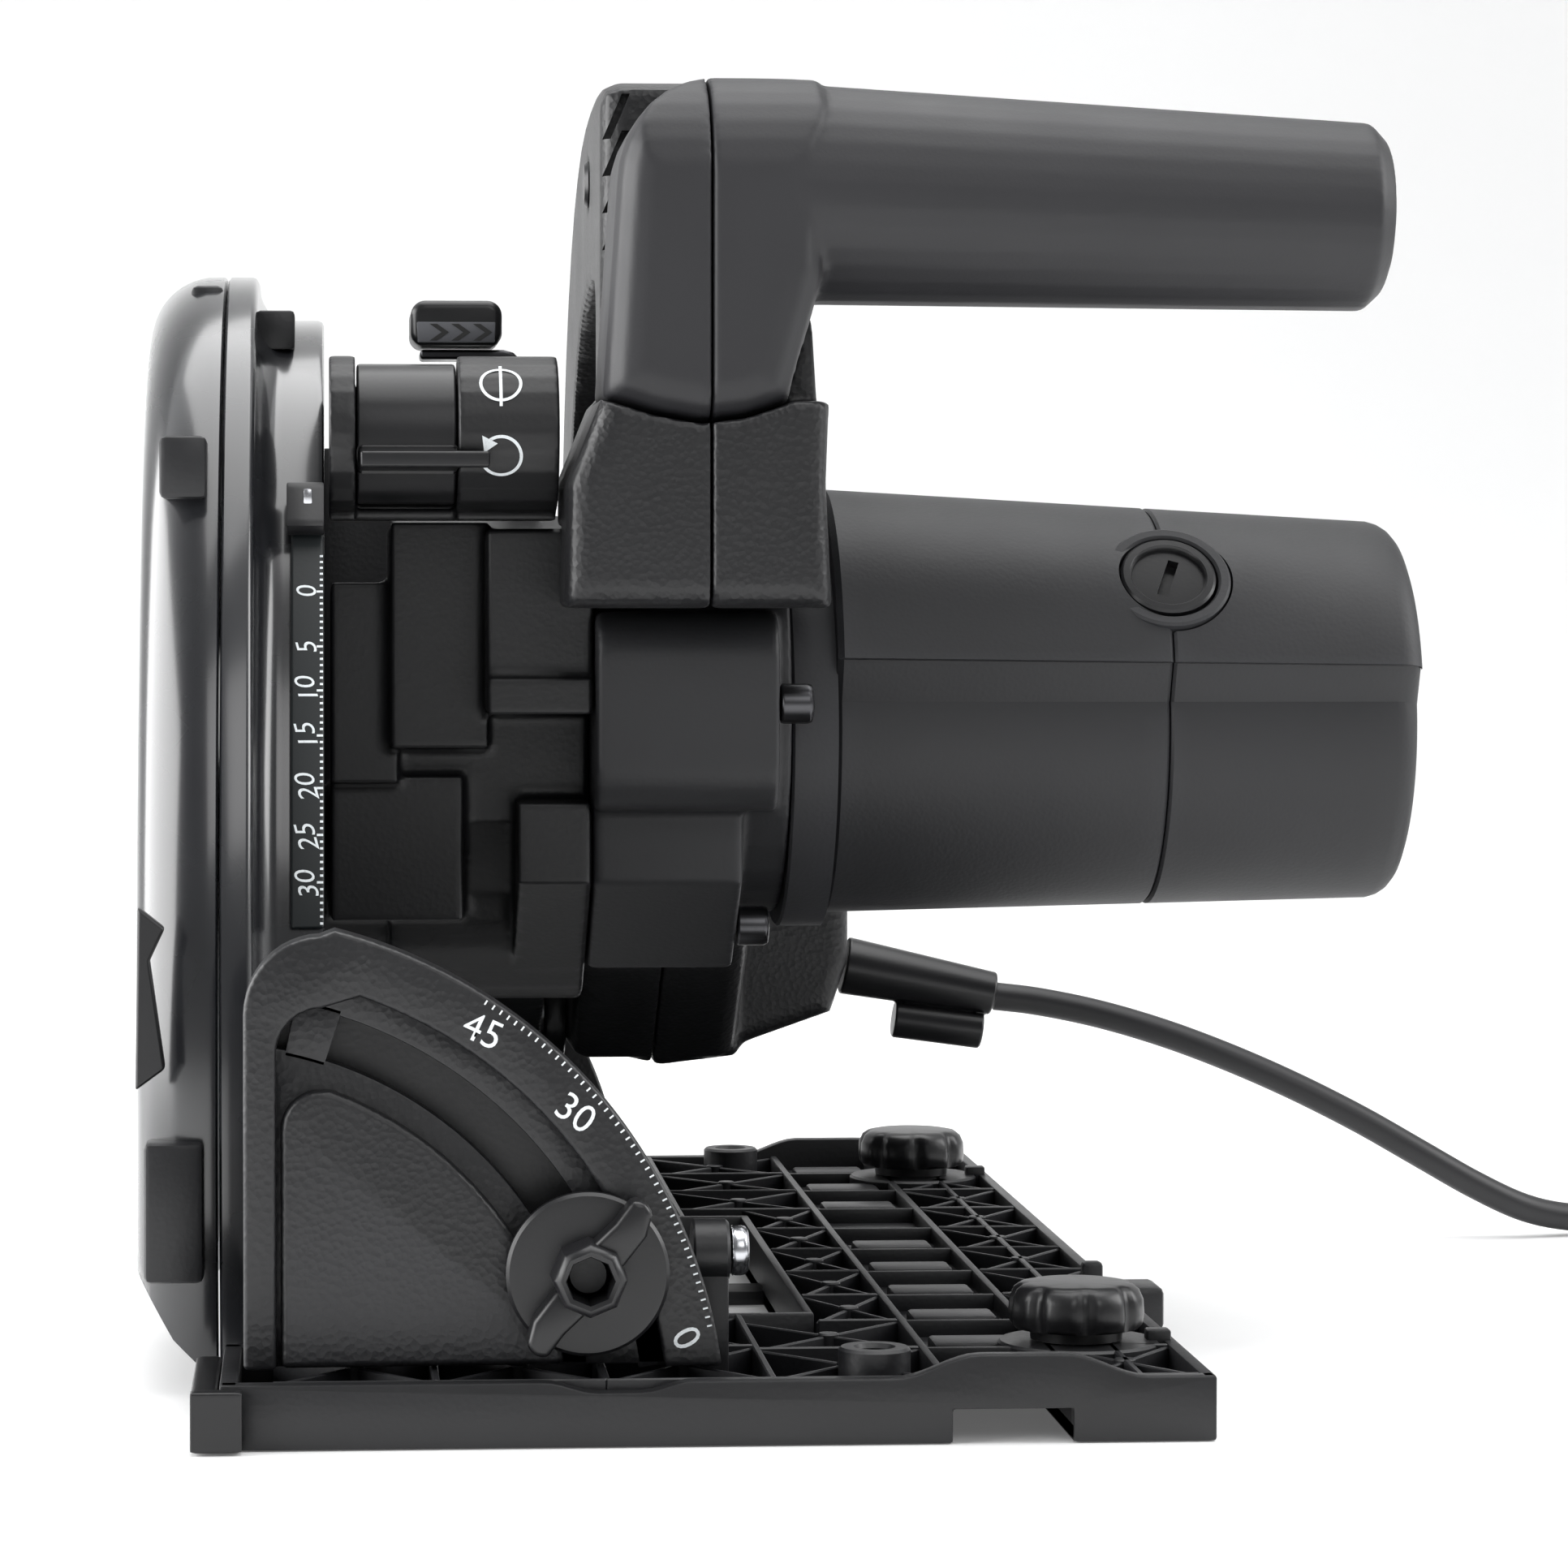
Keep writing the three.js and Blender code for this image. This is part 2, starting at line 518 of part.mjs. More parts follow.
for (const [name, x, centre] of [['upper', CASE.right, [-59.6, 128]], ['lower', 13.9, [-32, 82]]]) {
  const profile = [[0, 0], [4, 0], [4, 6], [3.4, 6.6], [2, 6.6], [2, 4], [0, 4]];
  const along = profile.map(([radius, t]) => [radius, x + GAP + t]);
  place(head, `case_screw_${name}`, turned('x', along, centre, 12), 'blackSteel');
}

// ---------------------------------------------------------------- motor
// The upper half of the housing stands proud of the lower one, with a sloping ledge between them.
const LEDGE = { upper: 44.5, lower: 39.8, drop: 5, upperAngle: 13, lowerAngle: 11.6 };
const motorSection = polygon([
  ...arc(...M, LEDGE.upper, LEDGE.upperAngle, 180 - LEDGE.upperAngle, 16),
  ...arc(M[0], M[1] - LEDGE.drop, LEDGE.lower, 180 - LEDGE.lowerAngle, 360 + LEDGE.lowerAngle, 18),
]);

function motorTaper(x, y, z) {
  const t = Math.max(0, (x - 34) / 115);
  const shrink = z > MOTOR.z ? 1 - 0.148 * t : 1 - 0.06 * t;
  return [x, MOTOR.y + (y - MOTOR.y) * (1 - 0.1 * t), MOTOR.z + (z - MOTOR.z) * shrink];
}

const BRUSH = { x: 101.4, angle: 140, lug: 12.8 };
function onBrushAxis(distance, side) {
  const angle = degrees(BRUSH.angle);
  return [BRUSH.x, M[0] + side * distance * Math.cos(angle), M[1] + side * distance * Math.sin(angle)];
}
const brushRod = (radius, from, to, side, segments = 16) =>
  rod(radius, onBrushAxis(from, side), onBrushAxis(to, side), segments);
const SIDES = [1, -1];

function motorShell(from, to, options = {}) {
  return prism('x', motorSection, from, to, { warp: motorTaper, ...options });
}

function motorHousing() {
  const barrel = motorShell(MOTOR.start, MOTOR.split);
  const lugs = SIDES.map((side) => (
    motorShell(MOTOR.split - 1, 118).intersect(brushRod(BRUSH.lug, 20, 60, side, 24))));
  const collar = cylinder('x', 41.4, MOTOR.start, 33, [M[0], M[1] - LEDGE.drop], 32);
  return cut(union([barrel, collar, ...lugs]), [
    cylinder('x', 36.6, MOTOR.start - 1, MOTOR.split + 20, M, 24),
    ...SIDES.flatMap((side) => [brushRod(10, 37.6, 60, side), brushRod(5.8, 20, 60, side, 10)]),
  ]);
}
place(head, 'motor_housing', motorHousing(), 'housing');

function motorEndCap() {
  const cap = motorShell(MOTOR.split + GAP - 8, MOTOR.end, { bevel: 5, bevelDepth: 5, bevelSteps: 2 })
    .intersect(box(MOTOR.split + GAP, 200, -100, 100, 0, 300));
  return cut(cap, [
    cylinder('x', 33.4, MOTOR.split - 1, 146, [M[0], M[1] - 1], 24),
    ...SIDES.map((side) => brushRod(BRUSH.lug + GAP, 15, 60, side, 24)),
  ]);
}
place(head, 'motor_end_cap', motorEndCap(), 'housing');

['front', 'rear'].forEach((name, i) => {
  const side = SIDES[i];
  const cap = cut(brushRod(9.7, 38, 41.5, side), [brushRod(6.8, 40.6, 50, side, 20)]);
  place(head, `${name}_brush_cap`, cap, 'knob');
  place(head, `${name}_brush`, brushRod(4, 13.6, 37.4, side, 8), 'carbon');
});

place(head, 'stator', tube('x', 22, 36, 42, 88, M, 24), 'steel');
place(head, 'rotor_front_bearing', tube('x', 5.2, 13, 12, 20, M, 16), 'steel');
place(head, 'rotor_rear_bearing', tube('x', 5.2, 11, 130, 138, M, 16), 'steel');
place(head, 'spindle_outer_bearing', tube('x', 8.2, 15, -68, -58, S, 16), 'steel');
place(head, 'spindle_inner_bearing', tube('x', 8.2, 12, -15, -7, S, 16), 'steel');

// ---------------------------------------------------------------- handle
const HANDLE = { left: -14, right: 24, front: -42.6, pedestalFront: -86 };
const loopOuter = [
  [-42.6, 251], [-30, 253.6], [0, 254], [38, 249], [74, 234], [103, 208], [124, 172], [136, 130], [139, 92],
  [133, 58], [120, 43],
];
const loopInner = [
  [-22, 206], [-16, 214], [8, 214.5], [42, 207], [74, 186], [96, 154], [105, 122], [100, 100], [84, 92],
  [64, 98], [44, 116],
];

const spline = (points, divisions) =>
  new THREE.SplineCurve(points.map(([a, b]) => new THREE.Vector2(a, b))).getPoints(divisions)
    .map((p) => [p.x, p.y]);

// A band of even width along a line of points.
function band(points, half) {
  const sides = [1, -1].map((side) => points.map(([a, b], i) => {
    const [a0, b0] = points[Math.max(i - 1, 0)];
    const [a1, b1] = points[Math.min(i + 1, points.length - 1)];
    const length = Math.hypot(a1 - a0, b1 - b0);
    return [a - (side * half * (b1 - b0)) / length, b + (side * half * (a1 - a0)) / length];
  }));
  return polygon([...sides[0], ...sides[1].reverse()]);
}

function handleWhole() {
  const outer = [...spline(loopOuter, 24), [84, 44], [52, 66], [20, 92], [-42.6, 130]];
  const inner = [...spline(loopInner, 30), [30, 112], [-10, 127], [-22, 160]];
  const loop = cut(prism('x', polygon(outer), HANDLE.left, HANDLE.right, { bevel: 4, bevelSteps: 2 }),
    [prism('x', polygon(inner), -40, 60)]);
  const pedestal = cut(prism('y', polygon([
    [-16.2, 187.4], [-22.8, 171], [-23.4, 147], [28.6, 147], [27.4, 171], [28, 187], [26.8, 204.6], [4, 204.6],
  ]), HANDLE.pedestalFront, -24, { bevel: 4, bevelSteps: 2 }), [
    box(14, 40, -90, -60, 187, 210),
    rod(77, [3, -100, 73.3], [3, -60, 49.9], 64), // arch under its front edge
  ]);
  const lower = prism('y', polygon([
    [-13.5, 62], [-10, 46], [7, 42], [24, 44], [26, 47], [46, 54], [50, 66], [50, 80], [40, 90], [-13.5, 90],
  ]), 84, 132, { bevel: 3, bevelSteps: 2 });
  const trimmed = cut(union([loop, pedestal.intersect(box(-40, 60, -100, -22.2, 147, 206)), lower]), [
    cylinder('x', 44.9, -60, 100, M, 36),
    box(-60, 60, -70, 20, 60, 146.6),
    prism('x', polygon([[-45, 60], [-45, 168.5], [-8, 168.5], [26, 160], [35, 126], [32, 60]]),
      -60, CASE.seam + GAP),
    prism('y', elbowOutline(GAP), -88, HANDLE.front - 0.05),
  ]);
  const spine = spline([
    [-30, 233], [0, 235], [36, 229], [74, 210], [104, 176], [120, 132], [122, 92], [116, 66],
  ], 16);
  return cut(trimmed, [
    prism('x', band(spine, 13), HANDLE.left + 3, HANDLE.right - 3),
    box(-4.6, 14.6, -18, 28, 206, 225),
    box(-17, 26, -78, -46, 140, 178),
    box(-60, CASE.seam + GAP, -62, -20, 120, 163.1),
    box(-60, CASE.right + GAP, -40, 34, 60, 107),
    cylinder('x', 5.4, -16, 0, [6, 236]),
    rod(2.6, [30, PIVOT.y, 67], [60, PIVOT.y, 62], 12),
  ]);
}

// ---------------------------------------------------------------- front grip
// Outline of the elbow seen from the front: a column with a curved collar below and a round shoulder.
function elbowOutline(grow = 0) {
  return polygon([
    [-15.8 - grow, 187.6 - grow], [-6, 184.4 - grow], [3, 182.8 - grow], [12, 184 - grow],
    [20 + grow, 186.8 - grow], [25.4 + grow, 206], [27 + grow, 212], [27 + grow, 250.2],
    ...arc(9, 229, 22 + grow, 90, 180, 8),
  ]);
}

function gripWhole() {
  // The shoulder is round like the bar; the column below it has rounded edges.
  const rounding = cylinder('x', BAR.radius + 0.3, -20, 30, [BAR.y, BAR.z], 32)
    .add(box(-20, 30, -88, -42, 170, BAR.z));
  const elbow = prism('y', elbowOutline(), -87, -43, { bevel: 7, bevelSteps: 3 }).intersect(rounding);
  const start = [9, BAR.y, BAR.z];
  const end = [BAR.end - 3.5, BAR.y, BAR.endZ];
  const bar = rod(BAR.radius, start, end, 32, BAR.endRadius);
  const tip = rod(BAR.endRadius, end, [BAR.end, BAR.y, BAR.endZ - 0.1], 32, BAR.endRadius - 3.5);
  const wall = 3.5;
  const inside = rod(BAR.radius - wall, [0, BAR.y, BAR.z], [BAR.end - 8, BAR.y, BAR.endZ], 20,
    BAR.endRadius - wall);
  return cut(union([elbow, bar, tip]), [inside, box(-9, 23, -80, -50, 190, 226)]);
}

const leftSide = box(-100, SEAM_X - GAP / 2, -200, 200, 0, 300);
const rightSide = box(SEAM_X + GAP / 2, 200, -200, 200, 0, 300);
const handle = handleWhole();
const grip = gripWhole();
place(head, 'handle_left', handle.intersect(leftSide), 'housing');
place(head, 'handle_right', handle.intersect(rightSide), 'housing');
place(head, 'grip_left', grip.intersect(leftSide), 'grip');
place(head, 'grip_right', grip.intersect(rightSide), 'grip');

const triggerShape = polygon([[-16, 222], [-15, 207], [-9, 203.5], [4, 209], [25, 213.5], [26, 222]]);
place(head, 'trigger', prism('x', triggerShape, -4, 14, { bevel: 1.5, bevelSteps: 1 }), 'knob');
place(head, 'lock_off_button', cylinder('x', 5, -18, -4, [6, 236]), 'knob');

function strainRelief() {
  const { y } = PIVOT; // its far end lies on the plunge axis, so plunging hardly moves the cord
  const sleeve = rod(6.7, [50.4, y, 63.6], [CORD_EXIT[0] - GAP, y, CORD_EXIT[2] + 0.6], 24, 5);
  const clip = rod(4.4, [62, y, 51.2], [82.6, y, 48.4], 16);
  return union([sleeve, clip, box(64, 81, y - 2, y + 2, 50, 58)]);
}
place(head, 'strain_relief', strainRelief(), 'knob');

// ---------------------------------------------------------------- selector and release lever
const drum = [BARREL.y, BARREL.z];
function selectorBarrel() {
  return union([
    cylinder('x', BARREL.radius, -68.6, -63.5, drum, 24),
    cylinder('x', BARREL.radius, -43.5, -23.8, drum, 24),
    cylinder('x', 8.8, -64, -43, drum, 16),
    box(-67, -24, -58, -42, 164.4, 166.6),
    box(-68.6, -63.5, -60, -44, 164.4, 178),
    box(-43.5, -24, -60, -42, 164.4, 178),
    box(-67, -24, -45, -42, 164.4, 180),
  ]);
}
place(head, 'selector_barrel', selectorBarrel(), 'casting');

function selectorLever() {
  const ring = tube('x', 9.3, 13.8, -63.2, -43.8, drum, 20);
  const tab = [[-79, 174.2], [-79, 177.4], [-71.5, 178.6], [-71.5, 173.6]];
  const pointer = [[-79.4, 174.2], [-79.4, 177.4], [-76.4, 177.4], [-76.4, 174.2]];
  return union([ring, prism('x', polygon(tab), -62.6, -44), prism('x', polygon(pointer), -62.6, -37.5)]);
}
place(head, 'selector_lever', selectorLever(), 'knob');

function releaseArm() {
  const strip = polygon([
    [-50, 199.6], [-33, 199.6], ...arc(-33, 195.6, 4, 90, 0, 3), [-29, 176], [-31, 176],
    ...arc(-33, 195.6, 2, 0, 90, 3), [-50, 197.6],
  ]);
  const plate = prism('x', polygon([[-26, 192], [-14, 192], [22, 182], [22, 170], [8, 170], [-26, 184]]), -31, -29);
  return cut(prism('y', strip, -26, -14).add(plate), [
    cylinder('x', 3.2, -40, -20, [15, 176], 16),
    box(-32, -28, -27, -14, 170, 184),
  ]);
}
place(head, 'release_arm', releaseArm(), 'blackSteel');
const padOutline = roundedRectangle(-52, -33.5, 199.9, 209.5, 2.5);
place(head, 'release_pad', prism('y', padOutline, -32, -8, { curves: 3 }), 'knob');

// ---------------------------------------------------------------- blade and gears
const bladeParts = group('blade');

function toothedWheel(teeth, radius, tooth, from, to, centre, phase = 0) {
  const points = [];
  for (let i = 0; i < teeth; i++) {
    const step = (2 * Math.PI) / teeth;
    [[0, radius - tooth], [0.5, radius]].forEach(([t, r]) => {
      const angle = (i + t + phase) * step;
      points.push([centre[0] + r * Math.cos(angle), centre[1] + r * Math.sin(angle)]);
    });
  }
  return prism('x', polygon(points), from, to);
}

function sawBlade() {
  const points = [];
  for (let i = 0; i < BLADE.teeth; i++) {
    const step = (2 * Math.PI) / BLADE.teeth;
    [[0, 0], [0.28, -1.6], [0.5, -8], [0.9, -6]].forEach(([t, drop]) => {
      const angle = (i + t) * step;
      const r = BLADE.radius + drop;
      points.push([S[0] + r * Math.cos(angle), S[1] + r * Math.sin(angle)]);
    });
  }
  const bore = cylinder('x', BLADE.bore + 0.3, -100, -80, S);
  return cut(prism('x', polygon(points), BLADE.left, BLADE.right), [bore]);
}
place(bladeParts, 'saw_blade', sawBlade(), 'steel');

const spindleProfile = [
  [0, -96], [BLADE.bore, -96], [BLADE.bore, -84.6], [8, -84.6], [8, -6.6], [0, -6.6],
];
place(bladeParts, 'blade_spindle', turned('x', spindleProfile, S, 20), 'steel');
place(bladeParts, 'inner_flange', tube('x', BLADE.bore + 0.3, 20, BLADE.right + GAP, -85, S, 20), 'blackSteel');
place(bladeParts, 'outer_flange', tube('x', BLADE.bore + 0.3, 18, -96.2, BLADE.left - GAP, S, 20), 'blackSteel');
place(bladeParts, 'blade_bolt', cylinder('x', 7.5, -100.4, -96.5, S, 6), 'blackSteel');
const spindleGear = cut(toothedWheel(TEETH.spindle, 19.5, 0.8, -46, -36, S), [cylinder('x', 8.3, -50, -30, S)]);
place(bladeParts, 'spindle_gear', spindleGear, 'steel');

const idlerParts = group('idler');
const idler = union([
  cylinder('x', 4, -53, -7, I, 12),
  toothedWheel(TEETH.idlerPinion, 7, 0.8, -46, -35, I),
  toothedWheel(TEETH.idlerGear, 13.3, 0.8, -34, -26, I),
  cylinder('x', 5, -36, -33, I, 12),
]);
place(idlerParts, 'intermediate_gear', idler, 'steel');

const rotorParts = group('rotor');
const rotorShaft = union([
  cylinder('x', 5, -36, 140, M, 12),
  toothedWheel(TEETH.pinion, 6.6, 0.8, -34, -26, M),
]);
place(rotorParts, 'rotor_shaft', rotorShaft, 'steel');
place(rotorParts, 'armature', tube('x', 5.3, 20.6, 44, 84, M, 20), 'copper');
place(rotorParts, 'commutator', tube('x', 5.3, 12.8, 93, 109, M, 16), 'copper');
const fanBlades = union([
  tube('x', 5.3, 9, 28, 38, M, 12),
  tube('x', 8, 34, 28, 29.5, M, 20),
  ...Array.from({ length: 7 }, (_, i) => {
    const angle = (i / 7) * 2 * Math.PI;
    const [u, v] = [Math.cos(angle), Math.sin(angle)];
    const at = (r, t) => [M[0] + r * u - t * v, M[1] + r * v + t * u];
    return prism('x', polygon([at(16, -0.7), at(33, -0.7), at(33, 0.7), at(16, 0.7)]), 29, 38);
  }),
]);
place(rotorParts, 'cooling_fan', fanBlades, 'knob');

// Riving knife behind the blade, on a holder that joins the spindle sleeve.
function rivingKnife() {
  const blade = prism('x', sector(...S, 83.5, 97, -62, -18, 8), -93.3, -90.4);
  const holder = prism('x', sector(...S, 24, 92, -40, -24, 3), -90.6, -88.6);
  const foot = prism('x', sector(...S, 21.3, 30, -44, -20, 3), -89, -78);
  return union([blade, holder, foot]);
}
place(head, 'riving_knife', rivingKnife(), 'steel');

// ---------------------------------------------------------------- mains cord
const cordParts = group('cord');
const COIL = { x: 297, y: 104, inner: 26, outer: 46, height: 26.4 };
const cordRoute = [
  CORD_EXIT, [96, 99.8, 54.9], [110, 99, 52], [125, 97.4, 47.6], [140, 95.4, 42], [155, 93.4, 35.4],
  [170, 92, 27.8], [184, 91.4, 19.8], [197, 92, 12.4], [209, 93.6, 6.8], [220, 96, 4.2], [231, 99.4, 3.6],
  [242, 104, 3.6],
];

function cordTube(route) {
  const path = new THREE.CatmullRomCurve3(route.map((p) => new THREE.Vector3(...p)));
  const section = polygon(arc(0, 0, CORD_RADIUS, 0, 315, 7));
  return solid(new THREE.ExtrudeGeometry(section, { extrudePath: path, steps: 20, bevelEnabled: false }));
}
place(cordParts, 'cord', cordTube(cordRoute), 'cord');

place(cordParts, 'cord_coil', tube('z', COIL.inner, COIL.outer, 0.2, COIL.height, [COIL.x, COIL.y], 28), 'cord');

// Round two-pin plug lying beside the coil, with its neck towards the coil.
function plug() {
  const x = COIL.x + COIL.outer - 3.5;
  const body = turned('y', [[0, 2], [17.6, 2], [17.6, 20], [9, 36], [5.2, 44], [4.8, 66], [0, 66]],
    [x, 17.8], 20);
  const pins = [-9.5, 9.5].map((dx) => cylinder('y', 2.4, -17, 3, [x + dx, 17.8], 10));
  return union([body, ...pins]);
}
place(cordParts, 'plug', plug(), 'knob');

export default saw;
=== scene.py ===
# Looks of a corded plunge circular saw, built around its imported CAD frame. Metres, +Z up; the blade side is
# -X, the motor +X, and the front of the saw faces -Y. Outlines and places below are in millimetres.
import json
import math

import bmesh
import bpy
from mathutils import Matrix, Vector


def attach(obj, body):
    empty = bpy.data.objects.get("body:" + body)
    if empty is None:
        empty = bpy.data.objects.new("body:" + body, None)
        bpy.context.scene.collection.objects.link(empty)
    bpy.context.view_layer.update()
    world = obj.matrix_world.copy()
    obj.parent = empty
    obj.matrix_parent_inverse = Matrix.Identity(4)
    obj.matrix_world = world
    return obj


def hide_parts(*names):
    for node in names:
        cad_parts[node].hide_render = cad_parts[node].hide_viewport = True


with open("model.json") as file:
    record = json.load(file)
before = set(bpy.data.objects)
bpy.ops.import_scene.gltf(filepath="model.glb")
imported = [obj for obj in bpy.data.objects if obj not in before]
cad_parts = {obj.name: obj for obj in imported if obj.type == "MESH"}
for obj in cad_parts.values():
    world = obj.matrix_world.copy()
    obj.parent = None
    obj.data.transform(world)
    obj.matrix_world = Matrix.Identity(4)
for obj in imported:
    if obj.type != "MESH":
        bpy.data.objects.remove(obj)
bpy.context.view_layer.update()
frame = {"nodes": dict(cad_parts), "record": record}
NODES = frame["nodes"]
MM = 0.001


def link(piece):
    bpy.context.scene.collection.objects.link(piece)


# ------------------------------ camera
LENS, SENSOR = 110.5, 36
SHIFT = (0.10, -0.045)
# how far the level direction along +Y lies from the frame's centre, as shares of the frame's width
AHEAD = (0.290, 0.122)


def make_camera():
    camera = bpy.data.objects.new("camera", bpy.data.cameras.new("camera"))
    link(camera)
    camera.data.lens = LENS
    camera.data.sensor_width = SENSOR
    camera.data.shift_x, camera.data.shift_y = SHIFT
    camera.location = (-0.0686, -1.010, 0.150)
    yaw = math.atan((AHEAD[0] - SHIFT[0]) * SENSOR / LENS)
    pitch = math.atan((AHEAD[1] + SHIFT[1]) * SENSOR / LENS)
    camera.rotation_euler = (math.pi / 2 - pitch, 0, -yaw)
    camera.data.dof.use_dof = False
    bpy.context.scene.camera = camera


make_camera()


# ------------------------------ nodes of a material
class Shader:
    """A material under construction: its nodes and the Principled surface."""

    def __init__(self, name, color, roughness, metallic=0.0):
        self.material = bpy.data.materials.new(name)
        self.material.use_nodes = True
        self.tree = self.material.node_tree
        self.surface = self.tree.nodes["Principled BSDF"]
        self.surface.inputs["Base Color"].default_value = (*color, 1)
        self.surface.inputs["Roughness"].default_value = roughness
        self.surface.inputs["Metallic"].default_value = metallic
        self.where = self.node("ShaderNodeTexCoord").outputs["Object"]

    def node(self, kind, **settings):
        made = self.tree.nodes.new(kind)
        for key, value in settings.items():
            setattr(made, key, value)
        return made

    def link(self, a, b):
        self.tree.links.new(a, b)

    def noise(self, scale, detail, stretch=None):
        made = self.node("ShaderNodeTexNoise")
        made.inputs["Scale"].default_value = scale
        made.inputs["Detail"].default_value = detail
        where = self.where
        if stretch:
            mapping = self.node("ShaderNodeMapping")
            mapping.inputs["Scale"].default_value = stretch
            self.link(where, mapping.inputs["Vector"])
            where = mapping.outputs["Vector"]
        self.link(where, made.inputs["Vector"])
        return made.outputs["Fac"]

    def cells(self, scale):
        made = self.node("ShaderNodeTexVoronoi")
        made.inputs["Scale"].default_value = scale
        self.link(self.where, made.inputs["Vector"])
        return made.outputs["Distance"]

    def ramp(self, value, *stops):
        """Colours at places along a value from 0 to 1."""
        made = self.node("ShaderNodeValToRGB")
        ramp = made.color_ramp
        while len(ramp.elements) < len(stops):
            ramp.elements.new(0.5)
        for element, (place, color) in zip(ramp.elements, stops):
            element.position = place
            element.color = (*color, 1)
        self.link(value, made.inputs["Fac"])
        return made.outputs["Color"]

    def span(self, value, low, high, from_low=0.0, from_high=1.0):
        """A value carried from one range to another."""
        made = self.node("ShaderNodeMapRange")
        ends = {"From Min": from_low, "From Max": from_high, "To Min": low, "To Max": high}
        for key, number in ends.items():
            made.inputs[key].default_value = number
        self.link(value, made.inputs["Value"])
        return made.outputs["Result"]

    def bump(self, height, distance, strength=1.0, under=None):
        made = self.node("ShaderNodeBump")
        made.inputs["Distance"].default_value = distance
        made.inputs["Strength"].default_value = strength
        self.link(height, made.inputs["Height"])
        if under:
            self.link(under, made.inputs["Normal"])
        self.link(made.outputs["Normal"], self.surface.inputs["Normal"])
        return made.outputs["Normal"]


def shade(color, factor):
    """A colour made lighter or darker."""
    return tuple(min(1, c * factor) for c in color)


def moulded(name, color, roughness, grain=1500, depth=0.00004, wear=1.35, speckle=0.0, coat=0.0):
    """Moulded plastic or paint: a fine eroded grain, faint mottling and lighter rubbed edges."""
    s = Shader(name, color, roughness)
    mottle = s.noise(28, 3)
    geometry = s.node("ShaderNodeNewGeometry")
    rubbed = s.span(geometry.outputs["Pointiness"], 0, 1, 0.52, 0.60)
    tint = s.ramp(mottle, (0.3, shade(color, 0.88)), (0.7, shade(color, 1.1)))
    mix = s.node("ShaderNodeMix", data_type="RGBA")
    s.link(rubbed, mix.inputs["Factor"])
    s.link(tint, mix.inputs[6])
    mix.inputs[7].default_value = (*shade(color, wear), 1)
    s.link(mix.outputs[2], s.surface.inputs["Base Color"])
    s.link(s.span(s.noise(55, 3), roughness - 0.05, roughness + 0.06), s.surface.inputs["Roughness"])
    grains = s.noise(grain, 1.5)
    normal = s.bump(grains, depth, 0.7)
    if speckle:
        s.bump(s.cells(grain * 0.8), depth * speckle, 1.0, normal)
    s.surface.inputs["Coat Weight"].default_value = coat
    s.surface.inputs["Coat Roughness"].default_value = 0.15
    return s.material


def metal(name, color, roughness, stretch=(4, 300, 300), depth=0.000008):
    """Ground or turned metal with fine directional scratches."""
    s = Shader(name, color, roughness, 1.0)
    scratches = s.noise(6, 4, stretch)
    tint = s.ramp(scratches, (0.3, shade(color, 0.86)), (0.7, shade(color, 1.08)))
    s.link(tint, s.surface.inputs["Base Color"])
    s.link(s.span(scratches, roughness - 0.06, roughness + 0.1), s.surface.inputs["Roughness"])
    s.bump(scratches, depth, 0.6)
    return s.material


def printed(name, color):
    """Slightly broken ink of the scales and pictograms."""
    s = Shader(name, color, 0.55)
    tint = s.ramp(s.noise(2500, 2), (0.25, shade(color, 0.75)), (0.45, color))
    s.link(tint, s.surface.inputs["Base Color"])
    s.bump(s.noise(1800, 2), 0.00001, 0.5)
    return s.material


LOOKS = {
    "casting": moulded("casting", (0.0052, 0.0053, 0.0061), 0.42, 1100, 0.00003, 2.0, 0.8),
    "housing": moulded("housing", (0.0135, 0.0137, 0.0155), 0.54, 1300, 0.00003, 1.7, 0.8),
    "textured": moulded("textured", (0.0072, 0.0073, 0.0083), 0.40, 1000, 0.00007, 2.0, 1.4),
    "grip": moulded("grip", (0.0150, 0.0149, 0.0172), 0.50, 1700, 0.00002, 1.5, 0.5),
    "cover": moulded("cover", (0.0120, 0.0126, 0.0146), 0.26, 900, 0.000002, 1.6, 0, 1.0),
    "knob": moulded("knob", (0.0062, 0.0062, 0.0070), 0.33, 1200, 0.00002, 1.7),
    "scale": moulded("scale", (0.0060, 0.0085, 0.0095), 0.42, 1300, 0.00002, 1.3),
    "steel": metal("steel", (0.50, 0.51, 0.52), 0.30),
    "blackSteel": metal("blackSteel", (0.085, 0.085, 0.09), 0.30),
    "zinc": metal("zinc", (0.60, 0.61, 0.64), 0.22),
    "copper": metal("copper", (0.52, 0.25, 0.12), 0.35),
    "carbon": moulded("carbon", (0.012, 0.012, 0.012), 0.7, 900),
    "cord": moulded("cord_rubber", (0.012, 0.012, 0.0135), 0.46, 1400, 0.00003, 1.2),
    "gray": moulded("gray", (0.075, 0.077, 0.085), 0.5, 1500),
    "ink": printed("ink", (0.78, 0.82, 0.84)),
}


# ------------------------------ CAD nodes
SLOT_OF = {s["node"]: s["material_slot"] for s in frame["record"]["subparts"]}
BODY_OF = {n: body for body, names in frame["record"]["behaviour"]["bodies"].items() for n in names}
COVERED = "base_plate"  # make_sole's casting takes its place, so its edges stay as they are


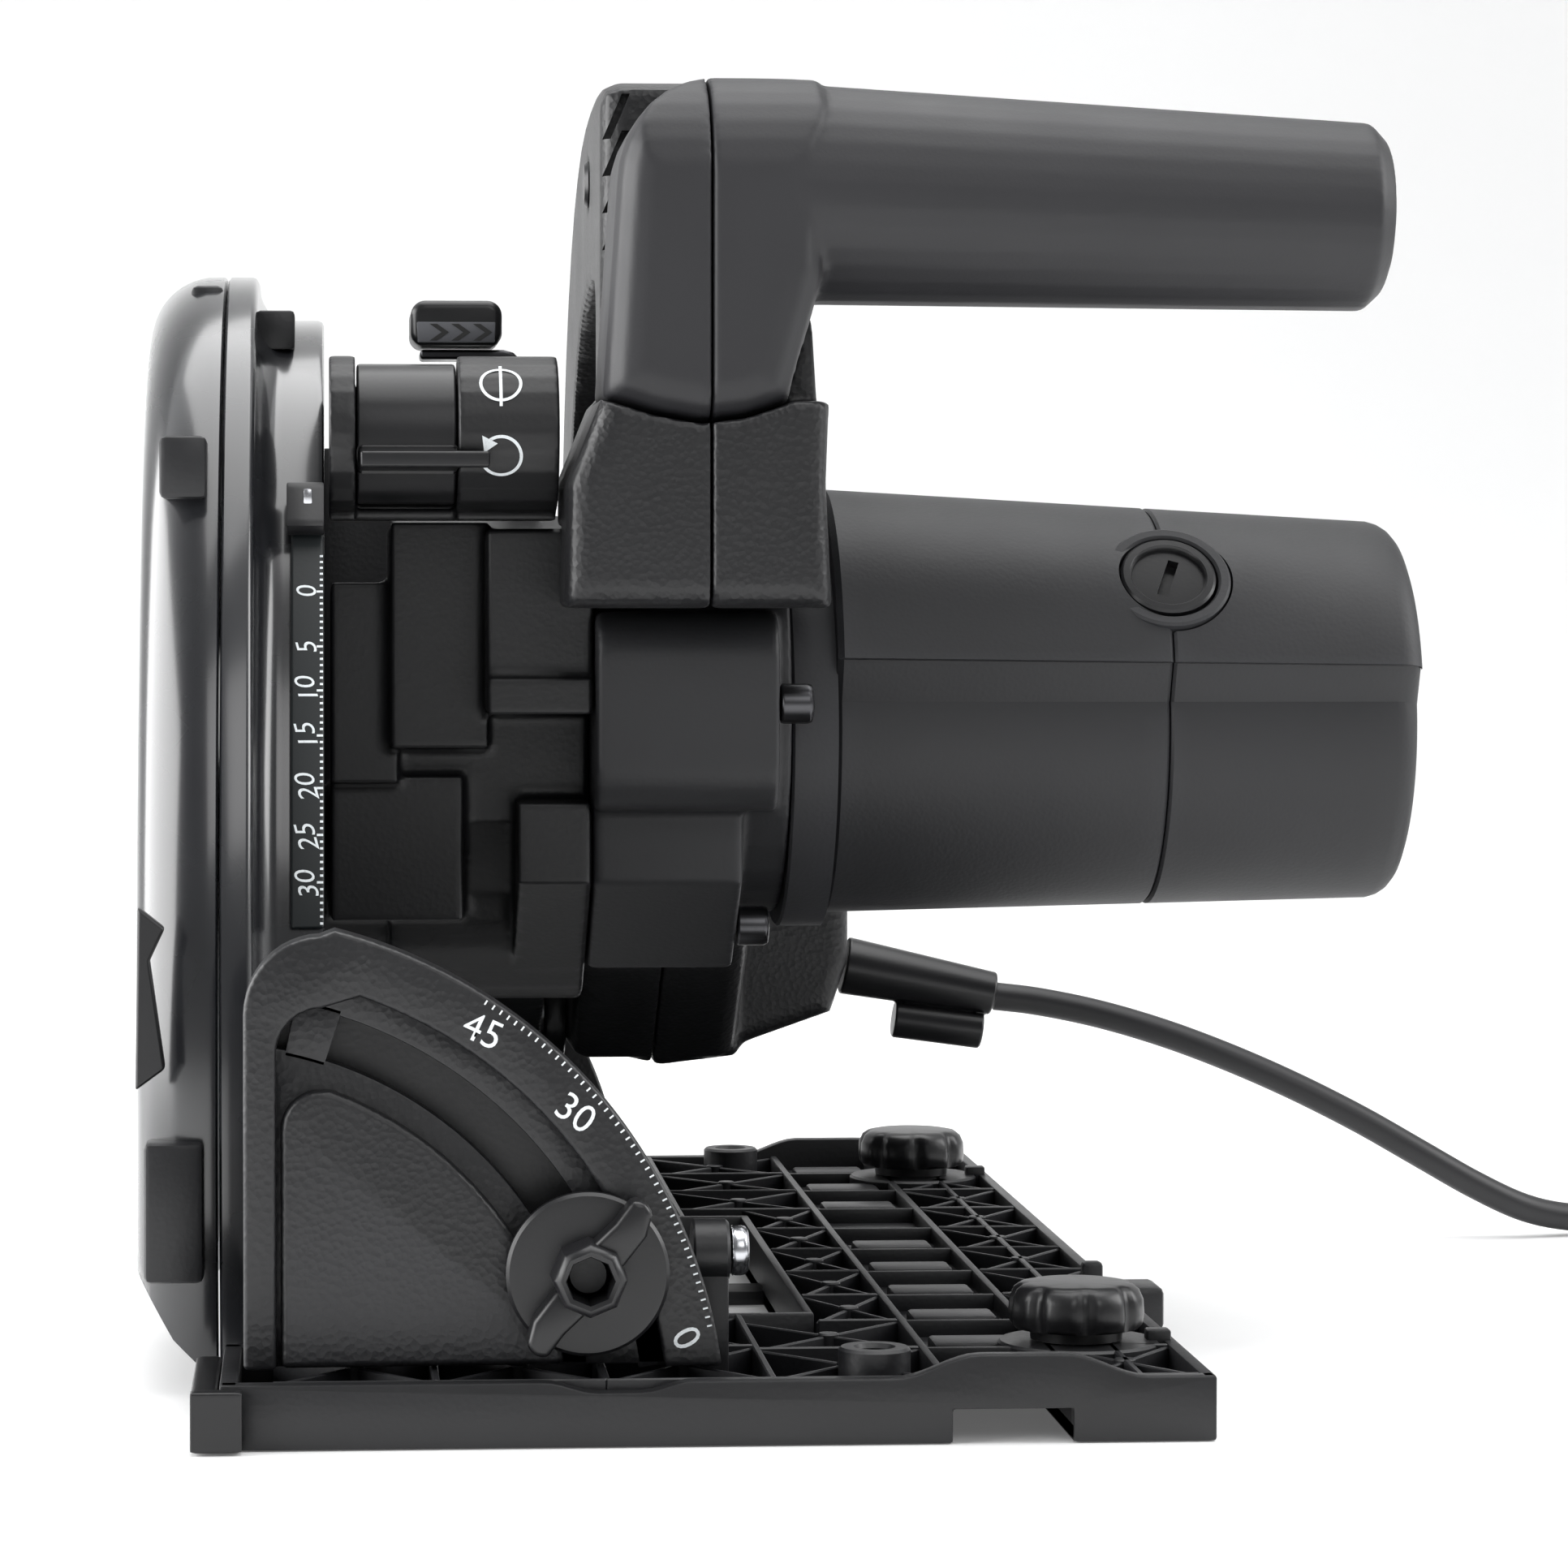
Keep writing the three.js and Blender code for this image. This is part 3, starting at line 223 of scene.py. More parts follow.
def dress(node, look):
    """The CAD shape as it is, with small rounded edges and its material."""
    node.data.materials.clear()
    node.data.materials.append(LOOKS[look])
    weld = node.modifiers.new("weld", "WELD")
    weld.merge_threshold = 0.00002
    if node.name == COVERED:
        return
    for face in node.data.polygons:
        face.use_smooth = True
    flat = node.modifiers.new("flat", "DECIMATE")
    flat.decimate_type = "DISSOLVE"
    flat.angle_limit = math.radians(0.6)
    bevel = node.modifiers.new("bevel", "BEVEL")
    bevel.width = 0.0006
    bevel.segments = 2
    bevel.limit_method = "ANGLE"
    bevel.angle_limit = math.radians(34)
    bevel.use_clamp_overlap = False
    bevel.miter_outer = "MITER_ARC"
    normals = node.modifiers.new("normals", "WEIGHTED_NORMAL")
    normals.keep_sharp = False
    normals.weight = 80


for name, node in NODES.items():
    dress(node, SLOT_OF[name])


def evaluated_mesh(piece):
    """The piece's mesh with its modifiers applied."""
    bpy.context.view_layer.update()
    graph = bpy.context.evaluated_depsgraph_get()
    return bpy.data.meshes.new_from_object(piece.evaluated_get(graph))


def add_piece(name, mesh, look, body, instead_of=(), angle=32):
    """Makes a mesh a smooth piece on a body, with edges over the angle in degrees kept sharp."""
    piece = bpy.data.objects.new(name, mesh)
    link(piece)
    mesh.materials.clear()
    mesh.materials.append(LOOKS[look])
    mesh.shade_smooth()
    if angle:
        mesh.set_sharp_from_angle(angle=math.radians(angle))
    if instead_of:
        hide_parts(*instead_of)
    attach(piece, body)
    return piece


def soften(name, voxel, rounds, look):
    """A moulded piece in place of a CAD node: the same shape with all its edges and joins rounded."""
    work = bpy.data.objects.new("work", NODES[name].data.copy())
    link(work)
    remesh = work.modifiers.new("remesh", "REMESH")
    remesh.mode = "VOXEL"
    remesh.voxel_size = voxel * MM
    relax = work.modifiers.new("relax", "SMOOTH")
    relax.factor = 0.5
    relax.iterations = rounds
    mesh = evaluated_mesh(work)
    mesh.name = f"{name}_moulded"
    bpy.data.objects.remove(work)
    add_piece(mesh.name, mesh, look, BODY_OF[name], (name,), None)


# ------------------------------ mains cord
ROUTE = [
    (85.7, 100, 56.2), (96, 99.8, 54.9), (110, 99, 52), (125, 97.4, 47.6), (140, 95.4, 42), (155, 93.4, 35.4),
    (170, 92, 27.8), (184, 91.4, 19.8), (197, 92, 12.4), (209, 93.6, 6.8), (220, 96, 4.2), (231, 99.4, 3.6),
    (242, 104, 3.6),
]
ONTO_COIL = [(250.4, 109.6, 3.6), (256.6, 117.4, 3.6)]
COIL = {"x": 297, "y": 104, "outer": 42.5, "pitch": 6.5, "rows": 3, "layers": 4, "floor": 3.6, "start": 150}
STEP_ANGLE, CROSSING = 15, 80  # degrees between the coil's points, and over which it changes row or layer
PLUG_NECK = (339.5, 66, 17.8)
CORD_DIAMETER = 6.5


def smooth(t):
    """An S-shaped rise from 0 to 1."""
    t = min(max(t, 0), 1)
    return t * t * (3 - 2 * t)


def coil_points():
    """Clockwise turns, inwards on one layer and outwards on the next, each step over a part of a turn."""
    rows, pitch = range(COIL["rows"]), COIL["pitch"]
    spots = []
    for layer in range(COIL["layers"]):
        for row in rows if layer % 2 == 0 else reversed(rows):
            spots.append((COIL["outer"] - row * pitch, COIL["floor"] + layer * pitch))
    points = []
    whole = len(spots) * 360 - (360 - COIL["start"])
    steps = int(whole / STEP_ANGLE)
    for i in range(steps + 1):
        swept = whole * i / steps
        turn = min(int(swept // 360), len(spots) - 1)
        (r0, z0), (r1, z1) = spots[max(turn - 1, 0)], spots[turn]
        lead = math.pi / 2 * smooth((swept % 360) / CROSSING)
        if z1 > z0:
            radius, z = r1, z0 + (z1 - z0) * math.sin(lead)
        elif r1 < r0:
            radius, z = r0 + (r1 - r0) * (1 - math.cos(lead)), z1
        else:
            radius, z = r0 + (r1 - r0) * math.sin(lead), z1
        angle = math.radians(COIL["start"] - swept)
        points.append((COIL["x"] + radius * math.cos(angle), COIL["y"] + radius * math.sin(angle), z))
    return points


def cord_points():
    """From the strain relief over the floor, round the coil and out to the plug."""
    turns = coil_points()
    x, y0, z0 = turns[-1]
    _, y1, z1 = PLUG_NECK
    lead_out = []
    for along in (8, 14, 20, 26, 32, y0 - y1):
        lead_out.append((x, y0 - along, z0 + (z1 - z0) * smooth((along - 10) / (y0 - y1 - 10))))
    return ROUTE + ONTO_COIL + turns + lead_out


def smooth_line(points, every):
    """Catmull-Rom line through the points, with evenly close steps, in metres."""
    vectors = [Vector(p) * MM for p in points]
    ends = [2 * vectors[0] - vectors[1], *vectors, 2 * vectors[-1] - vectors[-2]]
    line = []
    for a, b, c, d in zip(ends, ends[1:], ends[2:], ends[3:]):
        count = max(2, int((c - b).length / (every * MM)))
        for i in range(count):
            t = i / count
            line.append(0.5 * (2 * b + (c - a) * t + (2 * a - 5 * b + 4 * c - d) * t * t
                               + (3 * b - a - 3 * c + d) * t ** 3))
    return [*line, vectors[-1]]


def round_curve(name, line, radius, look):
    """A round cord along a line."""
    data = bpy.data.curves.new(name, "CURVE")
    data.dimensions = "3D"
    data.bevel_depth = radius
    data.bevel_resolution = 6
    data.use_fill_caps = True
    spline = data.splines.new("POLY")
    spline.points.add(len(line) - 1)
    for point, place in zip(spline.points, line):
        point.co = (*place, 1)
    piece = bpy.data.objects.new(name, data)
    link(piece)
    data.materials.append(LOOKS[look])
    return piece


cord_line = smooth_line(cord_points(), 2.2)
cord = round_curve("mains_cord", cord_line, CORD_DIAMETER / 2 * MM, "cord")
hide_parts("cord", "cord_coil")
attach(cord, "base")


# ------------------------------ mesh building, in millimetres
def arc(ca, cb, radius, start, end, steps):
    """Outline points on an arc about (ca, cb), between two angles in degrees."""
    angles = [math.radians(start + (end - start) * i / steps) for i in range(steps + 1)]
    return [(ca + radius * math.cos(t), cb + radius * math.sin(t)) for t in angles]


def oriented(axis, a, b, along):
    """A point from its two outline coordinates and its place along the axis, as the CAD solids have them."""
    return {"x": (along, a, b), "y": (a, along, b), "z": (a, b, along)}[axis]


def sector(centre, inner, outer, start, end, steps):
    return [*arc(*centre, outer, start, end, steps), *arc(*centre, inner, end, start, steps)]


def finished(whole, name):
    """Gathered shapes as one mesh in metres."""
    bmesh.ops.scale(whole, vec=(MM, MM, MM), verts=whole.verts)
    mesh = bpy.data.meshes.new(name)
    whole.to_mesh(mesh)
    whole.free()
    return mesh


class Builder:
    """Closed shapes gathered into one mesh."""

    def __init__(self):
        self.whole = bmesh.new()

    def take(self, part, bevel=0.0, segments=2, angle=30):
        """Adds a closed shape, with its edges over the angle in degrees rounded by the bevel."""
        bmesh.ops.recalc_face_normals(part, faces=part.faces)
        if bevel:
            sharp = [e for e in part.edges if e.is_manifold and e.calc_face_angle(0) > math.radians(angle)]
            bmesh.ops.bevel(part, geom=sharp, offset=bevel, offset_type="OFFSET", segments=segments,
                            profile=0.5, affect="EDGES", clamp_overlap=True)
        mesh = bpy.data.meshes.new("part")
        part.to_mesh(mesh)
        part.free()
        self.whole.from_mesh(mesh)
        bpy.data.meshes.remove(mesh)

    def prism(self, axis, outline, low, high, bevel=0.35, segments=2, angle=30):
        """An outline carried along an axis."""
        part = bmesh.new()
        rings = [[part.verts.new(oriented(axis, a, b, at)) for a, b in outline] for at in (low, high)]
        part.faces.new(rings[0])
        part.faces.new(list(reversed(rings[1])))
        for i in range(len(outline)):
            j = (i + 1) % len(outline)
            part.faces.new((rings[0][i], rings[1][i], rings[1][j], rings[0][j]))
        self.take(part, bevel, segments, angle)

    def box(self, x0, x1, y0, y1, z0, z1, bevel=0.35):
        self.prism("z", [(x0, y0), (x1, y0), (x1, y1), (x0, y1)], z0, z1, bevel)

    def turned(self, axis, profile, centre, steps=48, warp=None):
        """A profile of (radius, place along the axis) swept round the axis; radius 0 closes it."""
        part = bmesh.new()
        rings = []
        for radius, along in profile:
            if radius == 0:
                rings.append([part.verts.new(oriented(axis, *centre, along))])
                continue
            ring = []
            for i in range(steps):
                t = 2 * math.pi * i / steps
                r = radius if warp is None else warp(radius, along, t)
                spot = oriented(axis, centre[0] + r * math.cos(t), centre[1] + r * math.sin(t), along)
                ring.append(part.verts.new(spot))
            rings.append(ring)
        closed = profile[0] != profile[-1] and profile[0][0] != 0
        pairs = list(zip(rings, rings[1:])) + ([(rings[-1], rings[0])] if closed else [])
        for near, far in pairs:
            for i in range(steps):
                j = (i + 1) % steps
                if len(near) == 1:
                    part.faces.new((near[0], far[i], far[j]))
                elif len(far) == 1:
                    part.faces.new((near[i], far[0], near[j]))
                else:
                    part.faces.new((near[i], far[i], far[j], near[j]))
        self.take(part)

    def tube_along(self, line, radius, sides=10):
        """A round wire along a line of points."""
        part = bmesh.new()
        line = [Vector(p) for p in line]
        side = None
        rings = []
        for i, p in enumerate(line):
            ahead = (line[min(i + 1, len(line) - 1)] - line[max(i - 1, 0)]).normalized()
            if side is None:
                side = ahead.orthogonal().normalized()
            side = (side - ahead * side.dot(ahead)).normalized()
            up = ahead.cross(side)
            rings.append([part.verts.new(p + radius * (math.cos(t) * side + math.sin(t) * up))
                          for t in (2 * math.pi * k / sides for k in range(sides))])
        for near, far in zip(rings, rings[1:]):
            for k in range(sides):
                part.faces.new((near[k], near[(k + 1) % sides], far[(k + 1) % sides], far[k]))
        part.faces.new(rings[0])
        part.faces.new(list(reversed(rings[-1])))
        self.take(part)

    def move(self, matrix):
        bmesh.ops.transform(self.whole, matrix=matrix, verts=self.whole.verts)

    def add(self, name, look, body, slot, instead_of=(), angle=34):
        """Makes the gathered shapes a piece on a body."""
        return add_piece(name, finished(self.whole, name), look, body, instead_of, angle)


def plain(kind, *sizes):
    """A builder with one shape in it."""
    build = Builder()
    getattr(build, kind)(*sizes)
    return build


def loft(rings):
    """A closed shape through rings with equal numbers of points."""
    part = bmesh.new()
    rings = [[part.verts.new(p) for p in ring] for ring in rings]
    count = len(rings[0])
    for near, far in zip(rings, rings[1:]):
        for i in range(count):
            j = (i + 1) % count
            part.faces.new((near[i], near[j], far[j], far[i]))
    part.faces.new(rings[0])
    part.faces.new(list(reversed(rings[-1])))
    return part


def cut_away(piece, *builds, angle=40):
    """Takes closed shapes out of a piece; edges over the angle in degrees stay sharp."""
    for build in builds:
        cutter = bpy.data.objects.new("cutter", finished(build.whole, "cutter"))
        link(cutter)
        tool = piece.modifiers.new("cut", "BOOLEAN")
        tool.operation = "DIFFERENCE"
        tool.solver = "EXACT"
        tool.object = cutter
        whole, rest = piece.data, evaluated_mesh(piece)
        piece.modifiers.clear()
        piece.data = rest
        bpy.data.meshes.remove(whole)
        rest.set_sharp_from_angle(angle=math.radians(angle))
        bpy.data.objects.remove(cutter)


# ------------------------------ sole
SOLE = {"x": 88, "y": 170, "top": 11.5, "floor": 3}
GROOVE = (41, 62.5, 6)  # its two sides and its depth
BLADE_EDGE = (-82, -78.8)  # the wall between the sole and the blade
WINDOW = {"left": 22.4, "right": 24.2, "front": -90, "back": 52}  # the opening under the head
KNOB, BOSS = (69.5, 127), (28.7, 155)  # each stands at both ends
STOP = (-140, 30.4)  # the stop's place in Y, and its height
RIB_END, RIB_PITCH = 166, 33.2


def hump(x):
    """Height of the sole's end walls: a low wave over the rail groove and a shallow dip near the blade."""
    rise = smooth((x - 31) / 15) * (1 - smooth((x - 61) / 15))
    dip = smooth((x + 31) / 9) * (1 - smooth((x + 14) / 9))
    return SOLE["top"] + 4.1 * rise - 1.9 * dip


def end_wall(build, near, far):
    left, right, depth = GROOVE
    x = SOLE["x"]
    top = [(at, hump(at)) for at in range(x, -x - 1, -2)]
    bottom = [(-x, 0), (left, 0), (left, depth), (right, depth), (right, 0), (x, 0)]
    build.prism("y", bottom + top, near, far, 0.5)


def make_sole():
    """Floor slabs and walls round the openings, ribs, bosses, knob seats and the small stop at the front."""
    build = Builder()
    x, y, top, floor = SOLE["x"], SOLE["y"], SOLE["top"], SOLE["floor"]
    left, right, depth = GROOVE
    edge, edge_in = BLADE_EDGE
    win_left, win_right, front, back = WINDOW.values()
    end = y - 0.6  # the slabs stop short of the end walls' faces
    end_wall(build, -y, 4 - y)
    end_wall(build, y - 4, y)
    # floor slabs, and the ones that cover the groove
    for box in (
        (win_left, left, -end, end, 0.1, floor), (right, x - 0.2, -end, end, 0.1, floor),
        (left - 0.5, right + 0.5, -end, 26, depth, 8), (left - 0.5, right + 0.5, 46, end, depth, 8),
        (left - 0.5, 44, 25, 47, depth, 8), (59.5, right + 0.5, 25, 47, depth, 8),
        (-x + 0.2, 22.8, -end, -123, 0.1, floor), (edge, 22.8, -124, front, 0.1, floor),
        (edge, 22.8, back, 131, 0.1, floor), (-x + 0.2, 22.8, 130, end, 0.1, floor),
        (edge, 22.8, -4, 8, 0.1, floor),
    ):
        build.box(*box, 0.15)
    # walls round the groove, the edges and the openings
    for wall in (
        (left - 1.6, left, -y + 3, y - 3, 0), (right, right + 1.6, -y + 3, y - 3, 0),
        (x - 2.4, x, -end, end, 0.05), (-x, -x + 3.2, -end, -123, 0.05), (-x, -x + 3.2, 130, end, 0.05),
        (-x, edge_in, -126.2, -123, 0), (-x, edge_in, 130, 133.2, 0),
        (edge, edge_in, -124, -45, 0), (edge, edge_in, 30, 132, 0),
        (win_left, win_right, front, back, 0), (edge, win_right, front - 2, front, 0),
        (edge, win_right, back, back + 2, 0),
    ):
        build.box(*wall, top, 0.4)
    make_ribs(build, top)
    boss = [(3.2, 6), (3.2, 14.2), (3.8, 15), (6.0, 15), (6.5, 14.5), (6.5, 1), (3.2, 1)]
    seat = [(0, 1), (15, 1), (15, 11), (14.5, 11.5), (0, 11.5)]
    for side in (-1, 1):
        build.turned("z", boss, (BOSS[0], side * BOSS[1]))
        build.turned("z", seat, (KNOB[0] + 0.4, side * KNOB[1]))
        build.box(KNOB[0] + 13, 87, side * KNOB[1] - 2, side * KNOB[1] + 2, 9, 13.4, 0.5)
    # clip at the edge with its upright, then the stop on its post
    build.box(84.2, 95, -76, -62, 5, 13.4, 1.2)
    build.box(79.5, 83.5, -72, -68, 1, 18, 0.8)
    stop = [(0, -3), (5.4, -3), (5.8, -2.6), (5.8, 3.1), (5.2, 3.7), (4.8, 3.7), (4.8, 2.6), (0, 2.6)]
    build.turned("x", stop, STOP)
    build.box(-2.8, 3.5, STOP[0] - 4, STOP[0] + 4, 1, STOP[1] - 2, 0.8)
    build.box(-1.5, 1.5, -134.5, -122, 1, 26, 0.6)
    build.add("sole_casting", "casting", "base", "casting", ("base_plate",))


def rib(build, start, end, high, thick=1.0):
    """An upright thin wall between two points of the floor."""
    (x0, y0), (x1, y1) = start, end
    length = math.hypot(x1 - x0, y1 - y0)
    nx, ny = -(y1 - y0) / length * thick / 2, (x1 - x0) / length * thick / 2
    outline = [(x0 + nx, y0 + ny), (x1 + nx, y1 + ny), (x1 - nx, y1 - ny), (x0 - nx, y0 - ny)]
    build.prism("z", outline, 1, high, 0.25, 1)


def cell(build, x0, x1, y0, y1, top):
    """One cell of the rib grid: a diagonal cross that meets in a round post."""
    rib(build, (x0, y0), (x1, y0), top)
    rib(build, (x0, y0), (x1, y1), top - 0.5)
    rib(build, (x1, y0), (x0, y1), top - 0.5)
    post = [(0, 2), (2, 2), (2, top - 0.3), (1.7, top), (0, top)]
    build.turned("z", post, ((x0 + x1) / 2, (y0 + y1) / 2), 16)


def make_ribs(build, top):
    """A grid of thin ribs over a low floor, with raised plates over the adjusters in the groove's cover."""
    left, right, _ = GROOVE
    front, back = WINDOW["front"], WINDOW["back"]
    beside = 9.5  # where the blade-side cells meet those beside the groove
    rows = [-RIB_END + RIB_PITCH * i for i in range(11)]
    rib(build, (75, -RIB_END), (75, RIB_END), top, 1.3)
    for y0, y1 in zip(rows, rows[1:]):
        cell(build, right + 1.6, SOLE["x"] - 2.4, y0, y1, top)
        cell(build, beside if y1 < front or y0 > back else WINDOW["right"], left - 1.6, y0, y1, top)
        build.box(left - 0.2, right + 0.2, y0 - 0.6, y0 + 0.6, 7.5, top - 0.3, 0.25)
        if not -1 < (y0 + y1) / 2 - 30 < 40:
            build.box(43.5, 60, y0 + 9, y0 + 20, 7.5, 10.4, 0.8)
    for low, high, count in ((-RIB_END, front - 2, 2), (back + 2, RIB_END, 3)):
        spans = [low + (high - low) * i / count for i in range(count + 1)]
        for x0, x1 in ((BLADE_EDGE[1], -50), (-50, -20), (-20, beside)):
            rib(build, (x1, low), (x1, high), top, 1.3)
            for y0, y1 in zip(spans, spans[1:]):
                cell(build, x0, x1, y0, y1, top)


make_sole()


# ------------------------------ rail knobs
def make_rail_knob(name, y):
    """Fluted knob with a domed top and shallow thumb hollows round its side."""
    build = Builder()
    base = SOLE["top"] + 0.3
    profile = [(r, base + h) for r, h in (
        (0, 0), (8.5, 0), (8.6, 2), (11.6, 2.2), (12.3, 3), (12.6, 5), (12.4, 7.6), (11.6, 9.4), (10.4, 10.2),
        (8.8, 10.5), (0, 10.4))]

    def flutes(radius, along, t):
        if radius < 9:
            return radius
        hollow = max(0, math.cos(8 * t)) ** 2
        fade = smooth((along - base - 1.8) / 1.5) * (1 - 0.55 * smooth((along - base - 8.6) / 2))
        return radius - 1.15 * hollow * fade  # 1.15 mm deep half-way up

    build.turned("z", profile, (KNOB[0], y), 96, flutes)
    build.add(f"{name}_fluted", "knob", name, "knob", (name,), 50)


make_rail_knob("front_rail_knob", -KNOB[1])
make_rail_knob("rear_rail_knob", KNOB[1])


# ------------------------------ bevel quadrants
TILT = (-91, 0)
QUADRANT = {"outer": 93, "rim": 83, "slot_out": 78.3, "slot_in": 70, "panel": 65.4, "left": -84,
            "bottom": 11.8}
FACE_Y = 156  # how far the quadrants' faces stand from the middle


def make_quadrant(name, side):
    """A slotted back plate, a raised textured rim and a pillowed panel inside the arc."""
    build = Builder()
    q = QUADRANT
    face, floor, back = side * FACE_Y, side * 151.6, side * 146
    corner = arc(q["left"] + 14, 75, 14, 92, 180, 12)
    outline = [*arc(*TILT, q["outer"], 7.3, 75.5, 60), *corner, (q["left"], q["bottom"])]
    inner_corner = arc(q["left"] + 14, 68, 8.2, 92, 180, 10)
    inner = [(q["left"] + 5.8, q["bottom"]), *reversed(inner_corner), *arc(*TILT, q["rim"], 70.5, 8.2, 50)]
    # plate: outside of the slot, inside of it, its foot, and the bridges past the slot's two ends
    behind = sorted((floor, back))
    build.prism("y", sector(TILT, q["slot_out"], q["rim"] + 2, 8, 75, 48), *behind, 0.4)
    inside = [*arc(*TILT, q["slot_in"], 12.5, 80, 48), (q["left"], 68), (q["left"], q["bottom"]),
              (-22.4, q["bottom"])]
    build.prism("y", inside, *behind, 0.4)
    build.prism("y", [(-30, q["bottom"]), (0.5, q["bottom"]), (-2, 21), (-30, 18)], *behind, 0.3)
    for start, end in ((13, 18), (72, 78)):
        build.prism("y", sector(TILT, q["slot_in"] - 1, q["slot_out"] + 1, start, end, 4), *behind, 0.1)
    # rim
    build.prism("y", outline + inner, *sorted((face, back)), 0.9, 3, 40)
    build.add(f"{name}_casting", "textured", "base", "casting", (name,), 40)
    # pillow
    pillow = Builder()
    panel = [(q["left"] + 6.6, q["bottom"] + 0.2), *arc(*TILT, q["panel"], 10.8, 70, 40),
             *arc(q["left"] + 6.6 + 7, 54.4, 7, 95, 180, 8)]
    pillow.prism("y", panel, *sorted((face - side * 0.5, floor - side * 3)), 2.9, 6, 40)
    pillow.add(f"{name}_panel", "textured", "base", "casting", (), 80)


make_quadrant("front_quadrant", -1)
make_quadrant("rear_quadrant", 1)


# ------------------------------ printed marks
CAP_SHARE = 0.73  # height of a digit as a share of the letters' size


def figure(text, size):
    """Flat digits as polygons in their own plane, centred on the origin, in millimetres."""
    data = bpy.data.curves.new("figure", "FONT")
    data.body = text
    data.size = size / CAP_SHARE
    data.align_x, data.align_y = "CENTER", "CENTER"
    data.resolution_u = 4
    data.offset = -0.004 * size
    piece = bpy.data.objects.new("figure", data)
    link(piece)
    mesh = evaluated_mesh(piece)
    bpy.data.objects.remove(piece)
    low = min(v.co.y for v in mesh.vertices)
    high = max(v.co.y for v in mesh.vertices)
    middle = Vector((0, (low + high) / 2, 0))
    points = [v.co - middle for v in mesh.vertices]
    return points, [tuple(p.vertices) for p in mesh.polygons]


class Print:
    """Thin printed shapes, each wrapped onto a surface by a function of its flat (u, v)."""

    def __init__(self):
        self.whole = bmesh.new()

    def shape(self, points, faces, onto, turn=0.0, at=(0, 0)):
        c, s = math.cos(math.radians(turn)), math.sin(math.radians(turn))
        made = [self.whole.verts.new(onto(at[0] + u * c - v * s, at[1] + u * s + v * c)) for u, v in points]
        for face in faces:
            if len(set(face)) > 2:
                self.whole.faces.new([made[i] for i in face])

    def strip(self, points, onto, turn, at):
        """A band between the first half of the points and the second."""
        row = len(points) // 2
        self.shape(points, [(i, i + 1, i + row + 1, i + row) for i in range(row - 1)], onto, turn, at)

    def bar(self, width, height, onto, turn=0.0, at=(0, 0)):
        w, h = width / 2, height / 2
        self.strip([(-w + 2 * w * i / 8, side * h) for side in (-1, 1) for i in range(9)], onto, turn, at)

    def ring(self, radius, width, onto, at=(0, 0), start=0, end=360, steps=40):
        points = [(r * math.cos(t), r * math.sin(t)) for r in (radius - width / 2, radius + width / 2)
                  for t in (math.radians(start + (end - start) * i / steps) for i in range(steps + 1))]
        self.strip(points, onto, 0, at)

    def add(self, name, body):
        add_piece(name, finished(self.whole, name), "ink", body, angle=None)


TICKS, FIGURES = 92, 87.6  # radii of the degree scale


def make_quadrant_marks(name, side):
    """Degree ticks along the rim with figures at 0, 30 and 45."""
    marks = Print()
    mirror = 1 if side < 0 else -1

    def onto(u, v):
        return (TILT[0] + u, side * (FACE_Y + 0.03), TILT[1] + v)

    for degree in range(12, 58):
        t = math.radians(degree)
        marks.bar(0.9, 0.3, onto, degree, (TICKS * math.cos(t), TICKS * math.sin(t)))
    for text, degree, turn in (("45", 55.5, -25), ("30", 41, -36), ("0", 11.2, -62)):
        t = math.radians(degree)
        points, faces = figure(text, 5.3)
        marks.shape([(mirror * p.x, p.y) for p in points], faces, onto, turn,
                    (FIGURES * math.cos(t), FIGURES * math.sin(t)))
    marks.add(f"{name}_marks", "base")


PIVOT = (100, 54.5)  # the plunge axis
SCALE_RADIUS = 206.34
DEPTHS = ((0, 152.3), (5, 155.6), (10, 158.0), (15, 160.6), (20, 163.4), (25, 166.1), (30, 168.6))


def make_depth_marks():
    """Depth figures that read upwards, with a dotted line of ticks along the edge of the scale."""
    marks = Print()

    def onto(u, v):
        t = math.radians(v)
        return (u, PIVOT[0] + SCALE_RADIUS * math.cos(t), PIVOT[1] + SCALE_RADIUS * math.sin(t))

    per_degree = math.radians(1) * SCALE_RADIUS
    for value, degree in DEPTHS:
        points, faces = figure(str(value), 4.0)
        place = [(-73.0 - p.y - 0.25 * p.x, degree - p.x / per_degree) for p in points]
        marks.shape(place, faces, onto)
    degree = 150.2
    while degree < 170.8:
        near = min(abs(degree - d) for _, d in DEPTHS) < 0.2
        width, x = (1.2, -70.4) if near else (0.6, -70.1)
        marks.bar(width, 0.45 / per_degree, onto, 0, (x, degree))
        degree += 0.36
    marks.add("depth_marks", "tilt_frame")


DRUM = (-60, 181.2, 15.4)  # its axis, and its radius


def make_selector_marks():
    """Two plain pictograms on the drum: a barred ring and an open ring with an arrow head."""
    marks = Print()
    y, z, radius = DRUM

    def onto(u, v):
        t = math.radians(180) - v / radius
        return (u, y + (radius + 0.04) * math.cos(t), z + (radius + 0.04) * math.sin(t))

    x, top, low, line = -35.2, 10.3, -4.8, 0.62
    marks.ring(3.9, line, onto, (x, top))
    marks.bar(10.4, line, onto, 90, (x, top))
    marks.ring(3.9, line, onto, (x, low), -150, 130)
    marks.shape([(-1.6, -1.2), (1.6, -1.2), (0, 1.8)], [(0, 1, 2)], onto, 35, (x - 2.7, low + 2.6))
    marks.add("selector_marks", "plunge_head")


make_quadrant_marks("front_quadrant", -1)
make_quadrant_marks("rear_quadrant", 1)
make_depth_marks()
make_selector_marks()


